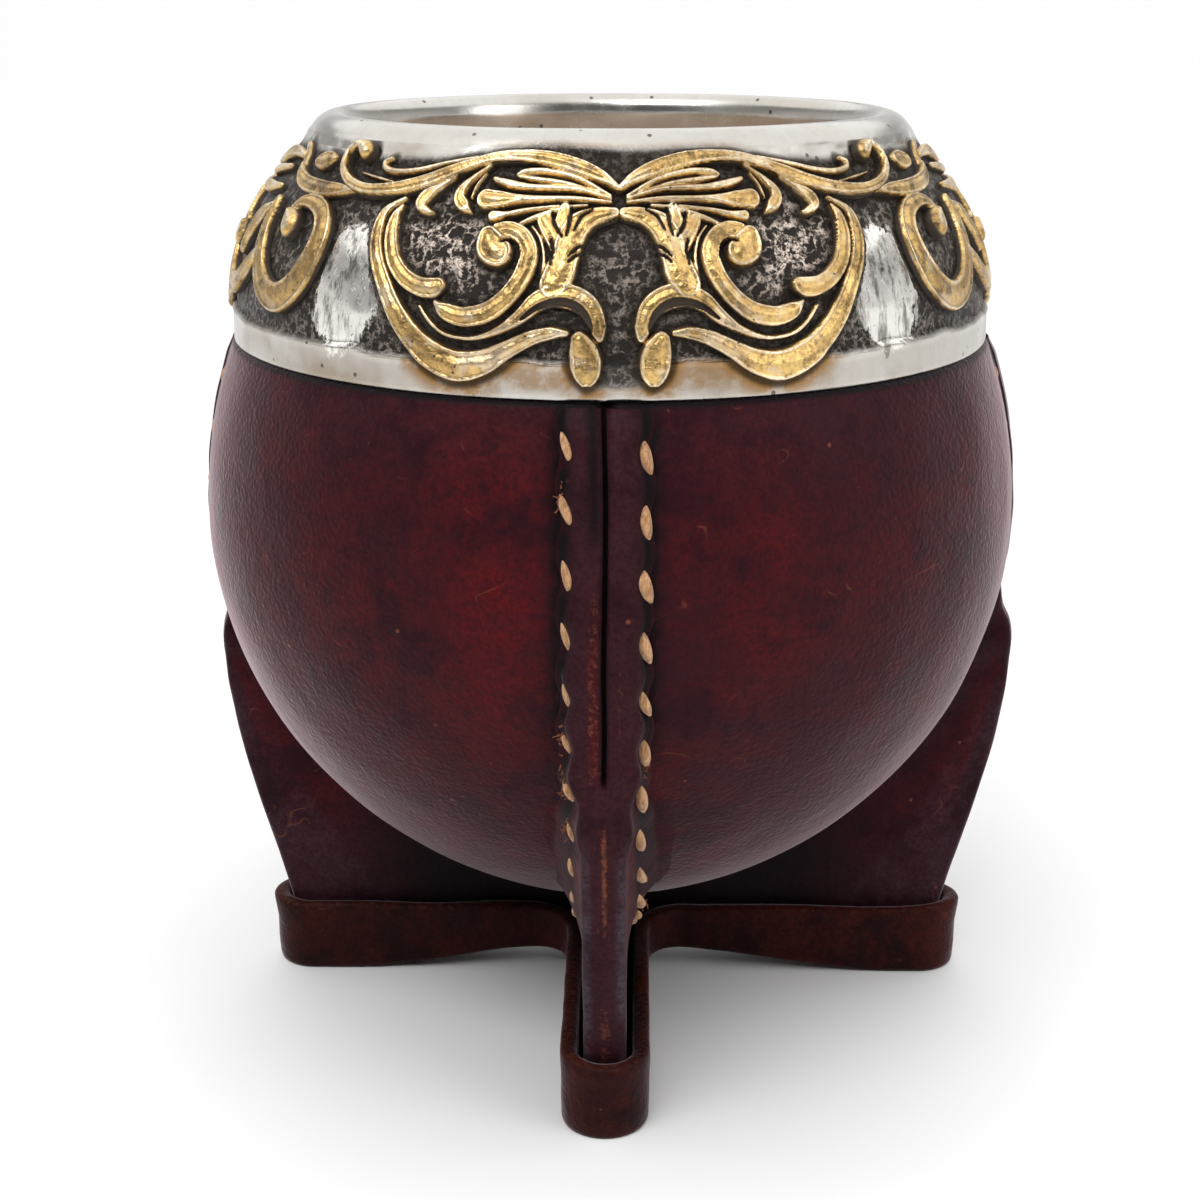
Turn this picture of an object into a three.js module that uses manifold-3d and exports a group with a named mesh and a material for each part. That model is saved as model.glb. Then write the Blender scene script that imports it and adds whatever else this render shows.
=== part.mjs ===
// Mate cup: a hollow calabash gourd in one sewn leather cover, whose four pleats run down into fin
// legs that stand in a cross-shaped leather tray. A nickel-silver ferrule with brass scrolls and
// sprays closes the mouth. Millimetres, +Z up, origin on the floor under the axis, front to -Y.

import * as THREE from "three";
import { mergeVertices } from "three/addons/utils/BufferGeometryUtils.js";
import Module from "manifold-3d";

const wasm = await Module();
wasm.setup();

const { clamp, degToRad, lerp, smoothstep } = THREE.MathUtils;
const GAP = 0.3; // between neighbouring solids

// Leather belly and the gourd inside it.
const BELLY_RADIUS = 47.5;
const BELLY_HEIGHT = 60; // height of the widest ring
const BELLY_DROP = 47; // from the widest ring down to the bottom
const DROP_POWER = 1.9; // below 2 the lower half is a little conical
const BELLY_RISE = 53; // half-axis of the upper half
const LEATHER = 2.2;
const COVER_TOP = 81; // the cover shows up to here and is tucked under the ferrule above
const TUCK_TOP = 83.2;
const GOURD_WALL = 5;
const NECK_FOOT = 83.6; // the gourd's neck rises from here inside the ferrule
const NECK_BEND = 92;
const COVER_FACETS = 40;
const GOURD_FACETS = 32;

// Ferrule.
const FERRULE_FOOT = 81.5;
const LIP_TOP = 106.4;
const MOUTH_RADIUS = 29.4;
const METAL = 1.1;
const BORDER_TOP = 84.8; // plain polished border round the foot
const BORDER_PROUD = 0.5;
const LINING_FOOT = 95; // the mouth's inner lining ends here
const FERRULE_FACETS = 44;
// Ground line of the ornament, radius and height, from the ferrule's foot to its lip.
const GROUND_LINE = [
  [42.9, FERRULE_FOOT],
  [42.7, 87.4],
  [42.1, 90.5],
  [41.1, 93.3],
  [39.6, 96.2],
  [37.6, 99.1],
  [35.8, 101.6],
  [34.7, 103.2],
  [33.9, 104.6],
];
// Rounded lip, from the end of the ground line over into the mouth.
const LIP_LINE = [
  [33.1, 105.6],
  [32.1, 106.2],
  [31, LIP_TOP],
  [30.1, 106],
  [29.6, 105.2],
  [MOUTH_RADIUS, 104.2],
];
// Places up the ground line where the border ends, the gourd's neck bends and the back wall stops.
const BORDER_FADE = [3.2, 4.4];
const NECK_SPAN = [15, 21];
const WALL_END = 20.8;

// Pleats of the cover: a low ridge above, a fin below.
const LEG_TURN = degToRad(-0.6); // the hand-sewn legs sit a little round from the front
const LEG_COUNT = 4;
const RIDGE_PROUD = 1;
const RIDGE_HALF = 3.9;
const RIDGE_FOOT = 52; // the fin leaves the belly below this height
const PLEAT_DEPTH = 1.4; // roots of the pleats lie this deep in the leather
const PLEAT_FLARE = 0.5; // and are this much wider on each side
const EDGE_ROUND = 1.1;
const EDGE_FLAT = 0.55; // share of the width that stays flat on the outer edge
const SLIT_FOOT = 43.5; // the pleat is cut open above this height and folded below it
const SLIT_HALF = 0.35;
const SLIT_DEPTH = 0.8;
const FIN_HALF = 2.1;
const FIN_NARROWING = [0.05, 0.45]; // shares of the fin's edge over which the ridge narrows
const FIN_ROOT_FOOT = 16.4;
const FIN_ROOT_HEIGHT = 15.2; // under the belly the roots end inside the cover's bottom
const FIN_ROOT_REACH = 10;
// Outer edge of a fin below the ridge, radius and height.
const FIN_EDGE = [
  [48.35, RIDGE_FOOT],
  [48.5, 47],
  [48.3, 40],
  [47.3, 31.5],
  [45.2, 22.5],
  [42.9, 14],
  [41.3, 7.6],
];

// Tray.
const TRAY_HALF = 4.85; // half width of an arm
const TRAY_REACH = 43.7;
const TRAY_TOP = 8.8;
const TRAY_WALL = 1.8;
const TRAY_SOLE = 2;
const TRAY_CORNER = 5;
const ARCH_RISE = 3.4; // the tray arches up between its four feet
const ARCH_SPAN = [6, 35.5];
const ARM_STEPS = 5; // facets along an arm, round its end and in a corner
const END_STEPS = 6;
const CORNER_STEPS = 3;

// Brass ornament.
const ORNAMENT_TURN = degToRad(1.35);
const ORNAMENT_RADIUS = 43; // places along the band are measured at this radius
const RELIEF = 1.15;
const STROKE_STEP = 3.1;
// Strokes of half a scroll, mirrored to its other half. A place is [along the band from the motif's
// middle, up the ground line, half width].
const SCROLL_STROKES = {
  largeScroll: [
    [23.8, 20.8, 0.35], [26.8, 18, 0.6], [26.6, 13.4, 0.75], [22.2, 6.7, 1.3],
    [16, 3.35, 1.6], [9.9, 5.7, 0.9], [7.2, 6.2, 0.3],
  ],
  innerLeaf: [[24.3, 20.4, 0.35], [25.4, 17.4, 0.8], [23.6, 12.9, 0.85], [20, 10.6, 0.8], [18.4, 10.9, 0.6]],
  volute: [
    [18.9, 9.2, 0.4], [15.3, 7.9, 1.05], [10.9, 10.9, 0.95],
    [9.8, 14.2, 0.8], [11.6, 16.5, 0.85], [13.6, 16, 1],
  ],
  voluteEye: [[14.3, 15.7, 0.7], [13.6, 14.5, 1.3], [11.8, 13.7, 0.7]],
  hook: [
    [20.6, 8.4, 0.35], [16, 6.1, 0.6], [12.6, 6.4, 0.85], [9.2, 9.3, 0.8],
    [4.9, 10.2, 1], [2.6, 8.4, 0.9], [2.7, 5.6, 0.6],
  ],
  drop: [[4.2, 6, 0.7], [3.8, 4, 1.5], [3.7, 1.9, 0.6]],
  web: [[9.4, 9.2, 0.4], [11.8, 9.9, 0.4]],
  calyx: [[0.5, 17.9, 0.45], [4, 17.2, 1], [6.2, 14, 1.5], [8.9, 9.9, 0.5]],
  calyxUpright: [[7.8, 19.1, 0.7], [6.9, 15.5, 0.9]],
  leafAndTendril: [
    [0.3, 20.9, 0.6], [5, 22.6, 1.5], [10, 23.2, 1.7], [15, 23.4, 0.9],
    [24, 21.1, 0.65], [32, 20.5, 0.6], [37.6, 22.6, 0.5], [36.4, 25, 0.5],
  ],
  tendrilBead: [[36.8, 24.9, 0.4], [34.6, 24.3, 0.95], [33.6, 24.1, 0.4]],
  leafClub: [[0.3, 19.8, 0.6], [8, 19.9, 1.1], [14.8, 20, 1]],
  firstLeaflet: [[15.4, 23.4, 0.4], [18.2, 21.2, 0.6], [16.6, 18.9, 0.4]],
  secondLeaflet: [[18.5, 22.8, 0.4], [22, 20.4, 0.8], [21, 18.7, 0.3]],
  flick: [[18, 23.3, 0.3], [26, 22.6, 0.35], [29.4, 23.6, 0.4]],
};
// Strokes of half a side spray, in the same measures.
const SPRAY_STROKES = {
  stem: [
    [34.2, 19.5, 0.35], [30, 18.6, 0.6], [24, 17.9, 0.55],
    [19.9, 18.9, 0.55], [18.3, 22.5, 0.5], [15.5, 24.3, 0.45],
  ],
  outerCurl: [[29.6, 18.8, 0.35], [26.2, 19.5, 0.35], [25.4, 20.8, 0.4]],
  innerCurl: [[20, 19.4, 0.35], [21, 20.7, 0.4], [22.4, 20.8, 0.3]],
  bud: [[18.4, 23, 0.35], [22.6, 23.9, 0.95], [24.6, 24.5, 0.4]],
  openScroll: [
    [24, 17.6, 0.6], [28.8, 17.2, 0.9], [31.3, 13.6, 1.1], [28.9, 8.9, 1.2],
    [23.6, 7.9, 1.1], [19.7, 10.9, 0.9], [17.9, 15.4, 0.7], [19, 19, 0.5],
  ],
  scrollEye: [[24.2, 17.5, 0.4], [25.1, 15, 1.2], [26.2, 13.9, 0.5]],
  dropLeaf: [[20.8, 9.6, 0.4], [16, 7.6, 1.05], [13.5, 6.9, 0.4]],
  lowerLeaf: [[18.2, 13.4, 0.5], [11, 10.6, 0.9], [4.6, 12.4, 0.8], [5.4, 16.4, 0.5]],
  upperLeaf: [[17.2, 23.4, 0.4], [9, 22.4, 0.8], [0.4, 20.4, 0.5]],
  middleLeaf: [[0.4, 20.8, 0.4], [2.2, 16.4, 1.2], [4.8, 12, 0.6]],
  footLeaf: [[8.8, 10.8, 0.5], [4.4, 6.4, 1], [1.2, 2.2, 0.4]],
};

const BRASS = new THREE.MeshStandardMaterial({ color: 0xb08d45, metalness: 1, roughness: 0.32 });
const SILVER = new THREE.MeshStandardMaterial({ color: 0xc9c4bb, metalness: 1, roughness: 0.25 });
const HIDE = new THREE.MeshStandardMaterial({ color: 0x43161a, roughness: 0.45 });
const SOLE_HIDE = new THREE.MeshStandardMaterial({ color: 0x3a1512, roughness: 0.6 });
const CALABASH = new THREE.MeshStandardMaterial({ color: 0x9c7446, roughness: 0.8 });

// Equal steps from one value to another, both included.
const steps = (from, to, count) =>
  Array.from({ length: count + 1 }, (_, i) => from + ((to - from) * i) / count);

const UP = new THREE.Vector3(0, 0, 1);
const LEG_ANGLES = steps(0, 2 * Math.PI, LEG_COUNT).slice(0, LEG_COUNT);

// Vertex coordinates and triangle corners as a geometry.
function meshOf(positions, corners) {
  const geometry = new THREE.BufferGeometry();
  geometry.setAttribute("position", new THREE.Float32BufferAttribute(positions, 3));
  geometry.setIndex(Array.from(corners));
  geometry.computeVertexNormals();
  return geometry;
}

// A closed geometry as a solid for joining and cutting, without the flat triangles at a pole.
function solidOf(geometry) {
  const bare = geometry.clone();
  bare.deleteAttribute("normal");
  bare.deleteAttribute("uv");
  const merged = mergeVertices(bare);
  const corners = merged.index.array;
  const kept = [];
  for (let i = 0; i < corners.length; i += 3) {
    const [a, b, c] = corners.slice(i, i + 3);
    if (a !== b && b !== c && c !== a) kept.push(a, b, c);
  }
  const vertProperties = merged.attributes.position.array;
  return new wasm.Manifold(new wasm.Mesh({ numProp: 3, vertProperties, triVerts: new Uint32Array(kept) }));
}

function geometryOf(solid) {
  const mesh = solid.getMesh();
  return meshOf(mesh.vertProperties, mesh.triVerts);
}

const joined = (solids) => solids.reduce((whole, solid) => whole.add(solid));

function named(name, geometry, material) {
  const mesh = new THREE.Mesh(geometry, material);
  mesh.name = name;
  return mesh;
}

// Smooth curve through [radius, height] pairs.
const profileCurve = (pairs) => new THREE.SplineCurve(pairs.map((pair) => new THREE.Vector2(...pair)));

// A profile of [radius, height] pairs, listed anticlockwise, turned about the Z axis.
function turned(profile, facets) {
  const geometry = new THREE.LatheGeometry(profile.map((pair) => new THREE.Vector2(...pair)), facets);
  geometry.rotateX(Math.PI / 2);
  return solidOf(geometry);
}

// Rings of equally many points joined into one closed solid with flat ends.
function lofted(rings) {
  const around = rings[0].length;
  const positions = rings.flat().flatMap((point) => point.toArray());
  const corners = [];
  for (let i = 0; i + 1 < rings.length; i++) {
    for (let j = 0; j < around; j++) {
      const a = i * around + j;
      const b = i * around + ((j + 1) % around);
      corners.push(a, b, b + around, a, b + around, a + around);
    }
  }
  const last = (rings.length - 1) * around;
  for (let j = 1; j + 1 < around; j++) corners.push(0, j + 1, j, last, last + j, last + j + 1);
  return solidOf(meshOf(positions, corners));
}

// Radius of the leather belly at a height.
function bellyRadius(height) {
  if (height >= BELLY_HEIGHT) {
    return BELLY_RADIUS * Math.sqrt(1 - ((height - BELLY_HEIGHT) / BELLY_RISE) ** 2);
  }
  const drop = Math.min(1, (BELLY_HEIGHT - height) / BELLY_DROP);
  return BELLY_RADIUS * (1 - drop ** DROP_POWER) ** (1 / DROP_POWER);
}

// Meridian of the belly, sunk by a depth, from the bottom on the axis up to a height.
function bellyMeridian(depth, top, count) {
  const shrink = 1 - depth / BELLY_RADIUS;
  const lift = 1 - depth / BELLY_DROP;
  const lower = steps(0, Math.PI / 2, count).map((angle) => {
    const below = BELLY_DROP * Math.cos(angle);
    return [shrink * bellyRadius(BELLY_HEIGHT - below), BELLY_HEIGHT - lift * below];
  });
  const upper = steps(BELLY_HEIGHT, top, Math.ceil(count / 2)).slice(1);
  return [...lower, ...upper.map((height) => [bellyRadius(height) - depth, height])];
}

const groundCurve = profileCurve(GROUND_LINE);
const groundLength = groundCurve.getLength();

// Radius and height of a place up the ground line, moved out along its normal.
function groundPoint(up, proud) {
  const share = clamp(up / groundLength, 0, 1);
  const point = groundCurve.getPointAt(share);
  const tangent = groundCurve.getTangentAt(share);
  return [point.x + proud * tangent.y, point.y - proud * tangent.x];
}

// How far the ferrule stands out from the ground line at a place up it.
const borderStep = (up) => BORDER_PROUD * (1 - smoothstep(up, ...BORDER_FADE));

function gourdShell() {
  const depth = LEATHER + GAP;
  const outside = bellyMeridian(depth, NECK_FOOT, 6);
  const bend = [outside.at(-1)[0] - GAP, NECK_BEND];
  const neck = steps(...NECK_SPAN, 2).map((up) => groundPoint(up, -METAL - 2 * GAP));
  const bore = MOUTH_RADIUS + METAL + GAP;
  const throat = [neck.at(-1)[1], LINING_FOOT - GAP].map((height) => [bore, height]);
  const inside = bellyMeridian(depth + GOURD_WALL, NECK_FOOT - GOURD_WALL, 6).reverse();
  return turned([...outside, bend, ...neck, ...throat, ...inside], GOURD_FACETS);
}

function ferrule() {
  const border = [FERRULE_FOOT, BORDER_TOP].map((height) => [GROUND_LINE[0][0] + BORDER_PROUD, height]);
  const ground = steps(BORDER_FADE[1], groundLength, 7).map((up) => groundPoint(up, 0));
  const back = steps(WALL_END, 0, 4).map((up) => groundPoint(up, -METAL));
  const lining = [
    [MOUTH_RADIUS, LINING_FOOT],
    [MOUTH_RADIUS + METAL, LINING_FOOT],
    [MOUTH_RADIUS + METAL, back[0][1] + METAL],
  ];
  return turned([...border, ...ground, ...LIP_LINE, ...lining, ...back, border[0]], FERRULE_FACETS);
}

// Height of the tray's underside and of its inner floor at a distance from the axis.
const archLift = (radius) => ARCH_RISE * (1 - smoothstep(radius, ...ARCH_SPAN));
const traySole = (radius) => TRAY_SOLE + archLift(radius) * (1 - TRAY_SOLE / TRAY_TOP);

// Outline of the tray and of the pocket in it.
const TRAY = { half: TRAY_HALF, reach: TRAY_REACH, corner: TRAY_CORNER };
const POCKET = {
  half: TRAY_HALF - TRAY_WALL,
  reach: TRAY_REACH - TRAY_WALL,
  corner: TRAY_CORNER + TRAY_WALL,
};
const armStations = ({ half, reach, corner }) => steps(half + corner, reach - half, ARM_STEPS);

// A point of the front leg: distance from the axis, height, and offset to its side.
const legPoint = (radius, height, side) => new THREE.Vector3(side, -radius, height);

// Rings of the front leg turned about the axis to another leg.
const turnedRings = (rings, angle) =>
  rings.map((ring) => ring.map((point) => point.applyAxisAngle(UP, angle)));

// Ring of one station of a pleat, from its root inside the cover to its rounded outer edge.
function pleatRing(root, edge, half, flare = 0) {
  const [from, to] = [root, edge].map((pair) => new THREE.Vector2(...pair));
  const shoulder = to.clone().lerp(from, Math.min(EDGE_FLAT, EDGE_ROUND / from.distanceTo(to)));
  const oneSide = [
    [from, half + flare],
    [shoulder, half],
    [to, half * EDGE_FLAT],
  ];
  const otherSide = oneSide.map(([place, side]) => [place, -side]).reverse();
  return [...oneSide, ...otherSide].map(([place, side]) => legPoint(place.x, place.y, side));
}

// A pleat from the ferrule down: a low sewn ridge that narrows into a fin and ends under the belly.
function pleat(angle) {
  const rooted = (height) => [bellyRadius(height) - PLEAT_DEPTH, height];
  const ridge = steps(COVER_TOP, RIDGE_FOOT, 5).map((height) =>
    pleatRing(rooted(height), [bellyRadius(height) + RIDGE_PROUD, height], RIDGE_HALF, PLEAT_FLARE),
  );
  const edge = profileCurve(FIN_EDGE);
  const fin = steps(0.1, 1, 8).map((share) => {
    const half = lerp(RIDGE_HALF, FIN_HALF, smoothstep(share, ...FIN_NARROWING));
    const root = rooted(lerp(RIDGE_FOOT, FIN_ROOT_FOOT, share ** 0.8));
    return pleatRing(root, edge.getPointAt(share).toArray(), half, PLEAT_FLARE);
  });
  const sole = [1, ...armStations(POCKET)].reverse().map((radius) => {
    const root = [(radius * FIN_ROOT_REACH) / POCKET.reach, FIN_ROOT_HEIGHT];
    return pleatRing(root, [radius, traySole(radius) + GAP], FIN_HALF);
  });
  return lofted(turnedRings([...ridge, ...fin, ...sole], angle));
}

// Slit between the two trimmed edges of the pleat, from the ferrule to where the fold begins.
function pleatSlit(angle) {
  const finRadius = FIN_EDGE[0][0];
  const rings = steps(TUCK_TOP, SLIT_FOOT, 6).map((height) => {
    const radius = height > RIDGE_FOOT ? bellyRadius(height) + RIDGE_PROUD : finRadius;
    const inner = radius - SLIT_DEPTH;
    const outer = radius + SLIT_DEPTH;
    return [
      legPoint(inner, height, SLIT_HALF),
      legPoint(outer, height, SLIT_HALF),
      legPoint(outer, height, -SLIT_HALF),
      legPoint(inner, height, -SLIT_HALF),
    ];
  });
  return lofted(turnedRings(rings, angle));
}

function leatherCover() {
  const tuckRadius = GROUND_LINE[0][0] - METAL - GAP;
  const tuck = [
    [tuckRadius, COVER_TOP],
    [tuckRadius, TUCK_TOP],
    [0, TUCK_TOP],
  ];
  const belly = turned([...bellyMeridian(0, COVER_TOP, 9), ...tuck], COVER_FACETS);
  const hollow = turned([...bellyMeridian(LEATHER, NECK_FOOT, 6), [0, NECK_FOOT]], GOURD_FACETS);
  const whole = joined([belly, ...LEG_ANGLES.map(pleat)]);
  return [hollow, ...LEG_ANGLES.map(pleatSlit)].reduce((left, cut) => left.subtract(cut), whole);
}

// Outline of a four-armed cross: for each arm one straight side, the round end, the other side and
// the filleted corner to the next arm, anticlockwise from above.
function crossOutline(cross) {
  const { half, reach, corner } = cross;
  const sides = armStations(cross);
  const hub = sides[0];
  const endAngles = steps(-Math.PI / 2, Math.PI / 2, END_STEPS).slice(1, -1);
  const cornerAngles = steps(0, Math.PI / 2, CORNER_STEPS).slice(1, -1);
  const arm = [
    ...sides.map((along) => [along, -half]),
    ...endAngles.map((angle) => [reach - half + half * Math.cos(angle), half * Math.sin(angle)]),
    ...[...sides].reverse().map((along) => [along, half]),
    ...cornerAngles.map((angle) => [hub - corner * Math.sin(angle), hub - corner * Math.cos(angle)]),
  ];
  const middle = new THREE.Vector2();
  const turnedArm = (turn) => arm.map((pair) => new THREE.Vector2(...pair).rotateAround(middle, turn));
  return LEG_ANGLES.flatMap(turnedArm);
}

// Triangles that fill one loop of that outline, facing up: a ladder along each arm, a fan over its
// round end and a fan about the middle.
function crossFill(first, middle) {
  const perArm = 2 * (ARM_STEPS + 1) + END_STEPS - 1 + CORNER_STEPS - 1;
  const faces = [];
  for (let arm = 0; arm < LEG_COUNT; arm++) {
    const near = first + arm * perArm;
    const far = near + 2 * ARM_STEPS + END_STEPS;
    const next = first + ((arm + 1) % LEG_COUNT) * perArm;
    for (let i = 0; i < ARM_STEPS; i++) {
      faces.push([near + i, near + i + 1, far - i - 1], [near + i, far - i - 1, far - i]);
    }
    const tip = near + ARM_STEPS;
    for (let i = tip + 1; i < far - ARM_STEPS; i++) faces.push([tip, i, i + 1]);
    faces.push([near, far, middle]);
    for (let i = far; i + 1 < near + perArm; i++) faces.push([i, i + 1, middle]);
    faces.push([near + perArm - 1, next, middle]);
  }
  return faces;
}

// The tray: outer wall, rim, inner wall and floor over an arched underside.
function baseTray() {
  const outer = crossOutline(TRAY);
  const inner = crossOutline(POCKET);
  const count = outer.length;
  const loops = [
    outer.map((place) => [...place.toArray(), archLift(place.length())]),
    outer.map((place) => [...place.toArray(), TRAY_TOP]),
    inner.map((place) => [...place.toArray(), TRAY_TOP]),
    inner.map((place) => [...place.toArray(), traySole(place.length())]),
  ];
  const faces = [];
  for (let loop = 0; loop + 1 < loops.length; loop++) {
    for (let i = 0; i < count; i++) {
      const a = loop * count + i;
      const b = loop * count + ((i + 1) % count);
      faces.push([a, b, b + count], [a, b + count, a + count]);
    }
  }
  const underMiddle = loops.length * count;
  const floorMiddle = underMiddle + 1;
  const underside = crossFill(0, underMiddle).map((face) => face.reverse());
  const floor = crossFill(underMiddle - count, floorMiddle);
  const positions = [...loops.flat(), [0, 0, archLift(0)], [0, 0, traySole(0)]];
  return meshOf(positions.flat(), [...faces, ...underside, ...floor].flat());
}

// A stroke of the ornament laid on the ferrule, flat below and ridged above.
function ornamentStroke(places, centre, side) {
  const curve = new THREE.CatmullRomCurve3(places.map((place) => new THREE.Vector3(...place)));
  const count = Math.max(2, Math.round(curve.getLength() / STROKE_STEP));
  const rings = steps(0, 1, count).map((share) => {
    const place = curve.getPointAt(share);
    const tangent = curve.getTangentAt(share).setZ(0).normalize();
    const onBand = (across, relief) => {
      const up = place.y + tangent.x * across;
      const [radius, height] = groundPoint(up, Math.max(relief, borderStep(up) + GAP));
      const angle = centre + (side * (place.x - tangent.y * across)) / ORNAMENT_RADIUS;
      return new THREE.Vector3(radius * Math.sin(angle), -radius * Math.cos(angle), height);
    };
    const ring = [onBand(-place.z, 0), onBand(place.z, 0), onBand(0, RELIEF)];
    return side > 0 ? ring : ring.reverse();
  });
  return lofted(rings);
}

// Half a motif about its middle: side -1 is its left half and 1 its right half, seen from outside.
const halfMotif = (strokes, centre, side) =>
  geometryOf(joined(Object.values(strokes).map((places) => ornamentStroke(places, centre, side))));

const cup = new THREE.Group();
cup.add(named("ferrule", geometryOf(ferrule()), SILVER));

const sewn = new THREE.Group();
sewn.rotation.z = LEG_TURN;
sewn.add(named("gourd_shell", geometryOf(gourdShell()), CALABASH));
sewn.add(named("leather_cover", geometryOf(leatherCover()), HIDE));
sewn.add(named("base_tray", baseTray(), SOLE_HIDE));
cup.add(sewn);

const ornament = new THREE.Group();
ornament.rotation.z = ORNAMENT_TURN;
for (const [name, strokes, centre] of [
  ["scroll_front", SCROLL_STROKES, 0],
  ["spray_right", SPRAY_STROKES, Math.PI / 2],
  ["scroll_back", SCROLL_STROKES, Math.PI],
  ["spray_left", SPRAY_STROKES, -Math.PI / 2],
]) {
  ornament.add(named(`${name}_left_half`, halfMotif(strokes, centre, -1), BRASS));
  ornament.add(named(`${name}_right_half`, halfMotif(strokes, centre, 1), BRASS));
}
cup.add(ornament);

export default cup;
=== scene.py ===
"""Looks of a mate gourd cup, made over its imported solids.

Lengths are in millimetres until make_piece turns them into metres. Angles run from the front (-Y)
towards the right (+X).
"""
import math

import bpy
import numpy as np
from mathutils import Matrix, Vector


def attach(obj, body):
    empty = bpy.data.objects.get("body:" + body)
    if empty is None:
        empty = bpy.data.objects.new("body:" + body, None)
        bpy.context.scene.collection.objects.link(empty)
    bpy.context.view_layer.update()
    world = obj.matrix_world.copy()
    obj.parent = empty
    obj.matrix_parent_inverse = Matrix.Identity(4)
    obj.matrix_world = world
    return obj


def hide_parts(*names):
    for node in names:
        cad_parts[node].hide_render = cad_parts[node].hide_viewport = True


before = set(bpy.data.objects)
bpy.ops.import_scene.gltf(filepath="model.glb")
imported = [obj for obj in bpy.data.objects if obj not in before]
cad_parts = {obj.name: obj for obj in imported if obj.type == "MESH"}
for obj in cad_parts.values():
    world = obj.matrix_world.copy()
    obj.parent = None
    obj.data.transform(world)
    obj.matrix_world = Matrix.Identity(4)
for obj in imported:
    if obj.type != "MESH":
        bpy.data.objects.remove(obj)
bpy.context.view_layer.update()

MM = 0.001
FULL_TURN = 2 * math.pi
QUARTER_TURN = math.pi / 2

# Leather belly, as in the solids.
BELLY_RADIUS = 47.5
BELLY_HEIGHT = 60
BELLY_DROP = 47
DROP_POWER = 1.9
BELLY_RISE = 53
COVER_TOP = 81
GOURD_DEPTH = 7.6  # the gourd's inner face lies this far inside the leather
GOURD_SHOULDER = 78  # above it the gourd draws in to the lining

# Pleats: a low sewn ridge above, a fin below.
LEG_TURN = math.radians(-0.6)
LEFT_SHORT = 1.2  # the left fin and arm reach less far than the right ones
RIGHT_LONG = 0.6
FRONT_RIDGE = 0.9  # how far the front and back ridges stand out
SIDE_RIDGE = 0.4
RIDGE_HALF = 3.65
RIDGE_FOOT = 52
SLIT_FOOT = 43.5
SLIT_HALF = 0.32
SLIT_DEPTH = 1.6
FIN_HALF = 2.35
FIN_ROOT_FOOT = 16.4
SOLE_ROOT_HEIGHT = 15.2  # root of the fin's sole, under the belly
SOLE_ROOT_SHARE = 0.24  # its radius, as a share of the sole's
FIN_TOP = [(48.35, 52), (48.5, 47)]
SIDE_FIN_TOP = [(47.05, 52), (47.25, 48.4), (48.2, 45.2)]  # close to the belly, then a shoulder
FIN_EDGE = [(48.3, 40), (47.3, 31.5), (45.2, 22.5), (42.9, 14), (41.3, 7.6)]
STITCH_PITCH = 6.25
STITCH_LENGTH = 3.6
SIDE_SUNK = 0.85  # the side seams are drawn tight, below the belly's outline
FIRST_STITCH = 4.6  # down the root line from the ferrule
LAST_STITCH_HEIGHT = 18.5
STITCH_RADIUS = 0.68
SEAM_SHARE = 0.35  # height of the stitch line on the flare at the pleat's root
FLARE_POWER = 2.2

# Tray.
TRAY_HALF = 4.85
TRAY_REACH = 43.7
TRAY_TOP = 8.8
TRAY_WALL = 1.8
TRAY_SOLE = 2
TRAY_CORNER = 5
ARCH_RISE = 3.4
ARCH_SPAN = (6, 35.5)
SIDE_POINTS = 24  # points along each side of an arm, and round its end
END_POINTS = 17

# Ferrule.
MOUTH_RADIUS = 29.4
LIP_TOP = 106.4
METAL = 1.1
LINING_FOOT = 95
BORDER_PROUD = 0.5
BORDER_END = 3.8
LIP_FADE = (25.1, 26.3)  # patina gives way to bright metal here, up the ground line and over the lip
GROUND_LINE = [
    (42.9, 81.5), (42.7, 87.4), (42.1, 90.5), (41.1, 93.3), (39.6, 96.2),
    (37.6, 99.1), (35.8, 101.6), (34.7, 103.2), (33.9, 104.6),
]
LIP_LINE = [
    (33.9, 104.6), (33.1, 105.6), (32.1, 106.2), (31, LIP_TOP), (30.1, 106), (29.6, 105.2),
    (MOUTH_RADIUS, 104.2),
]

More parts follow.
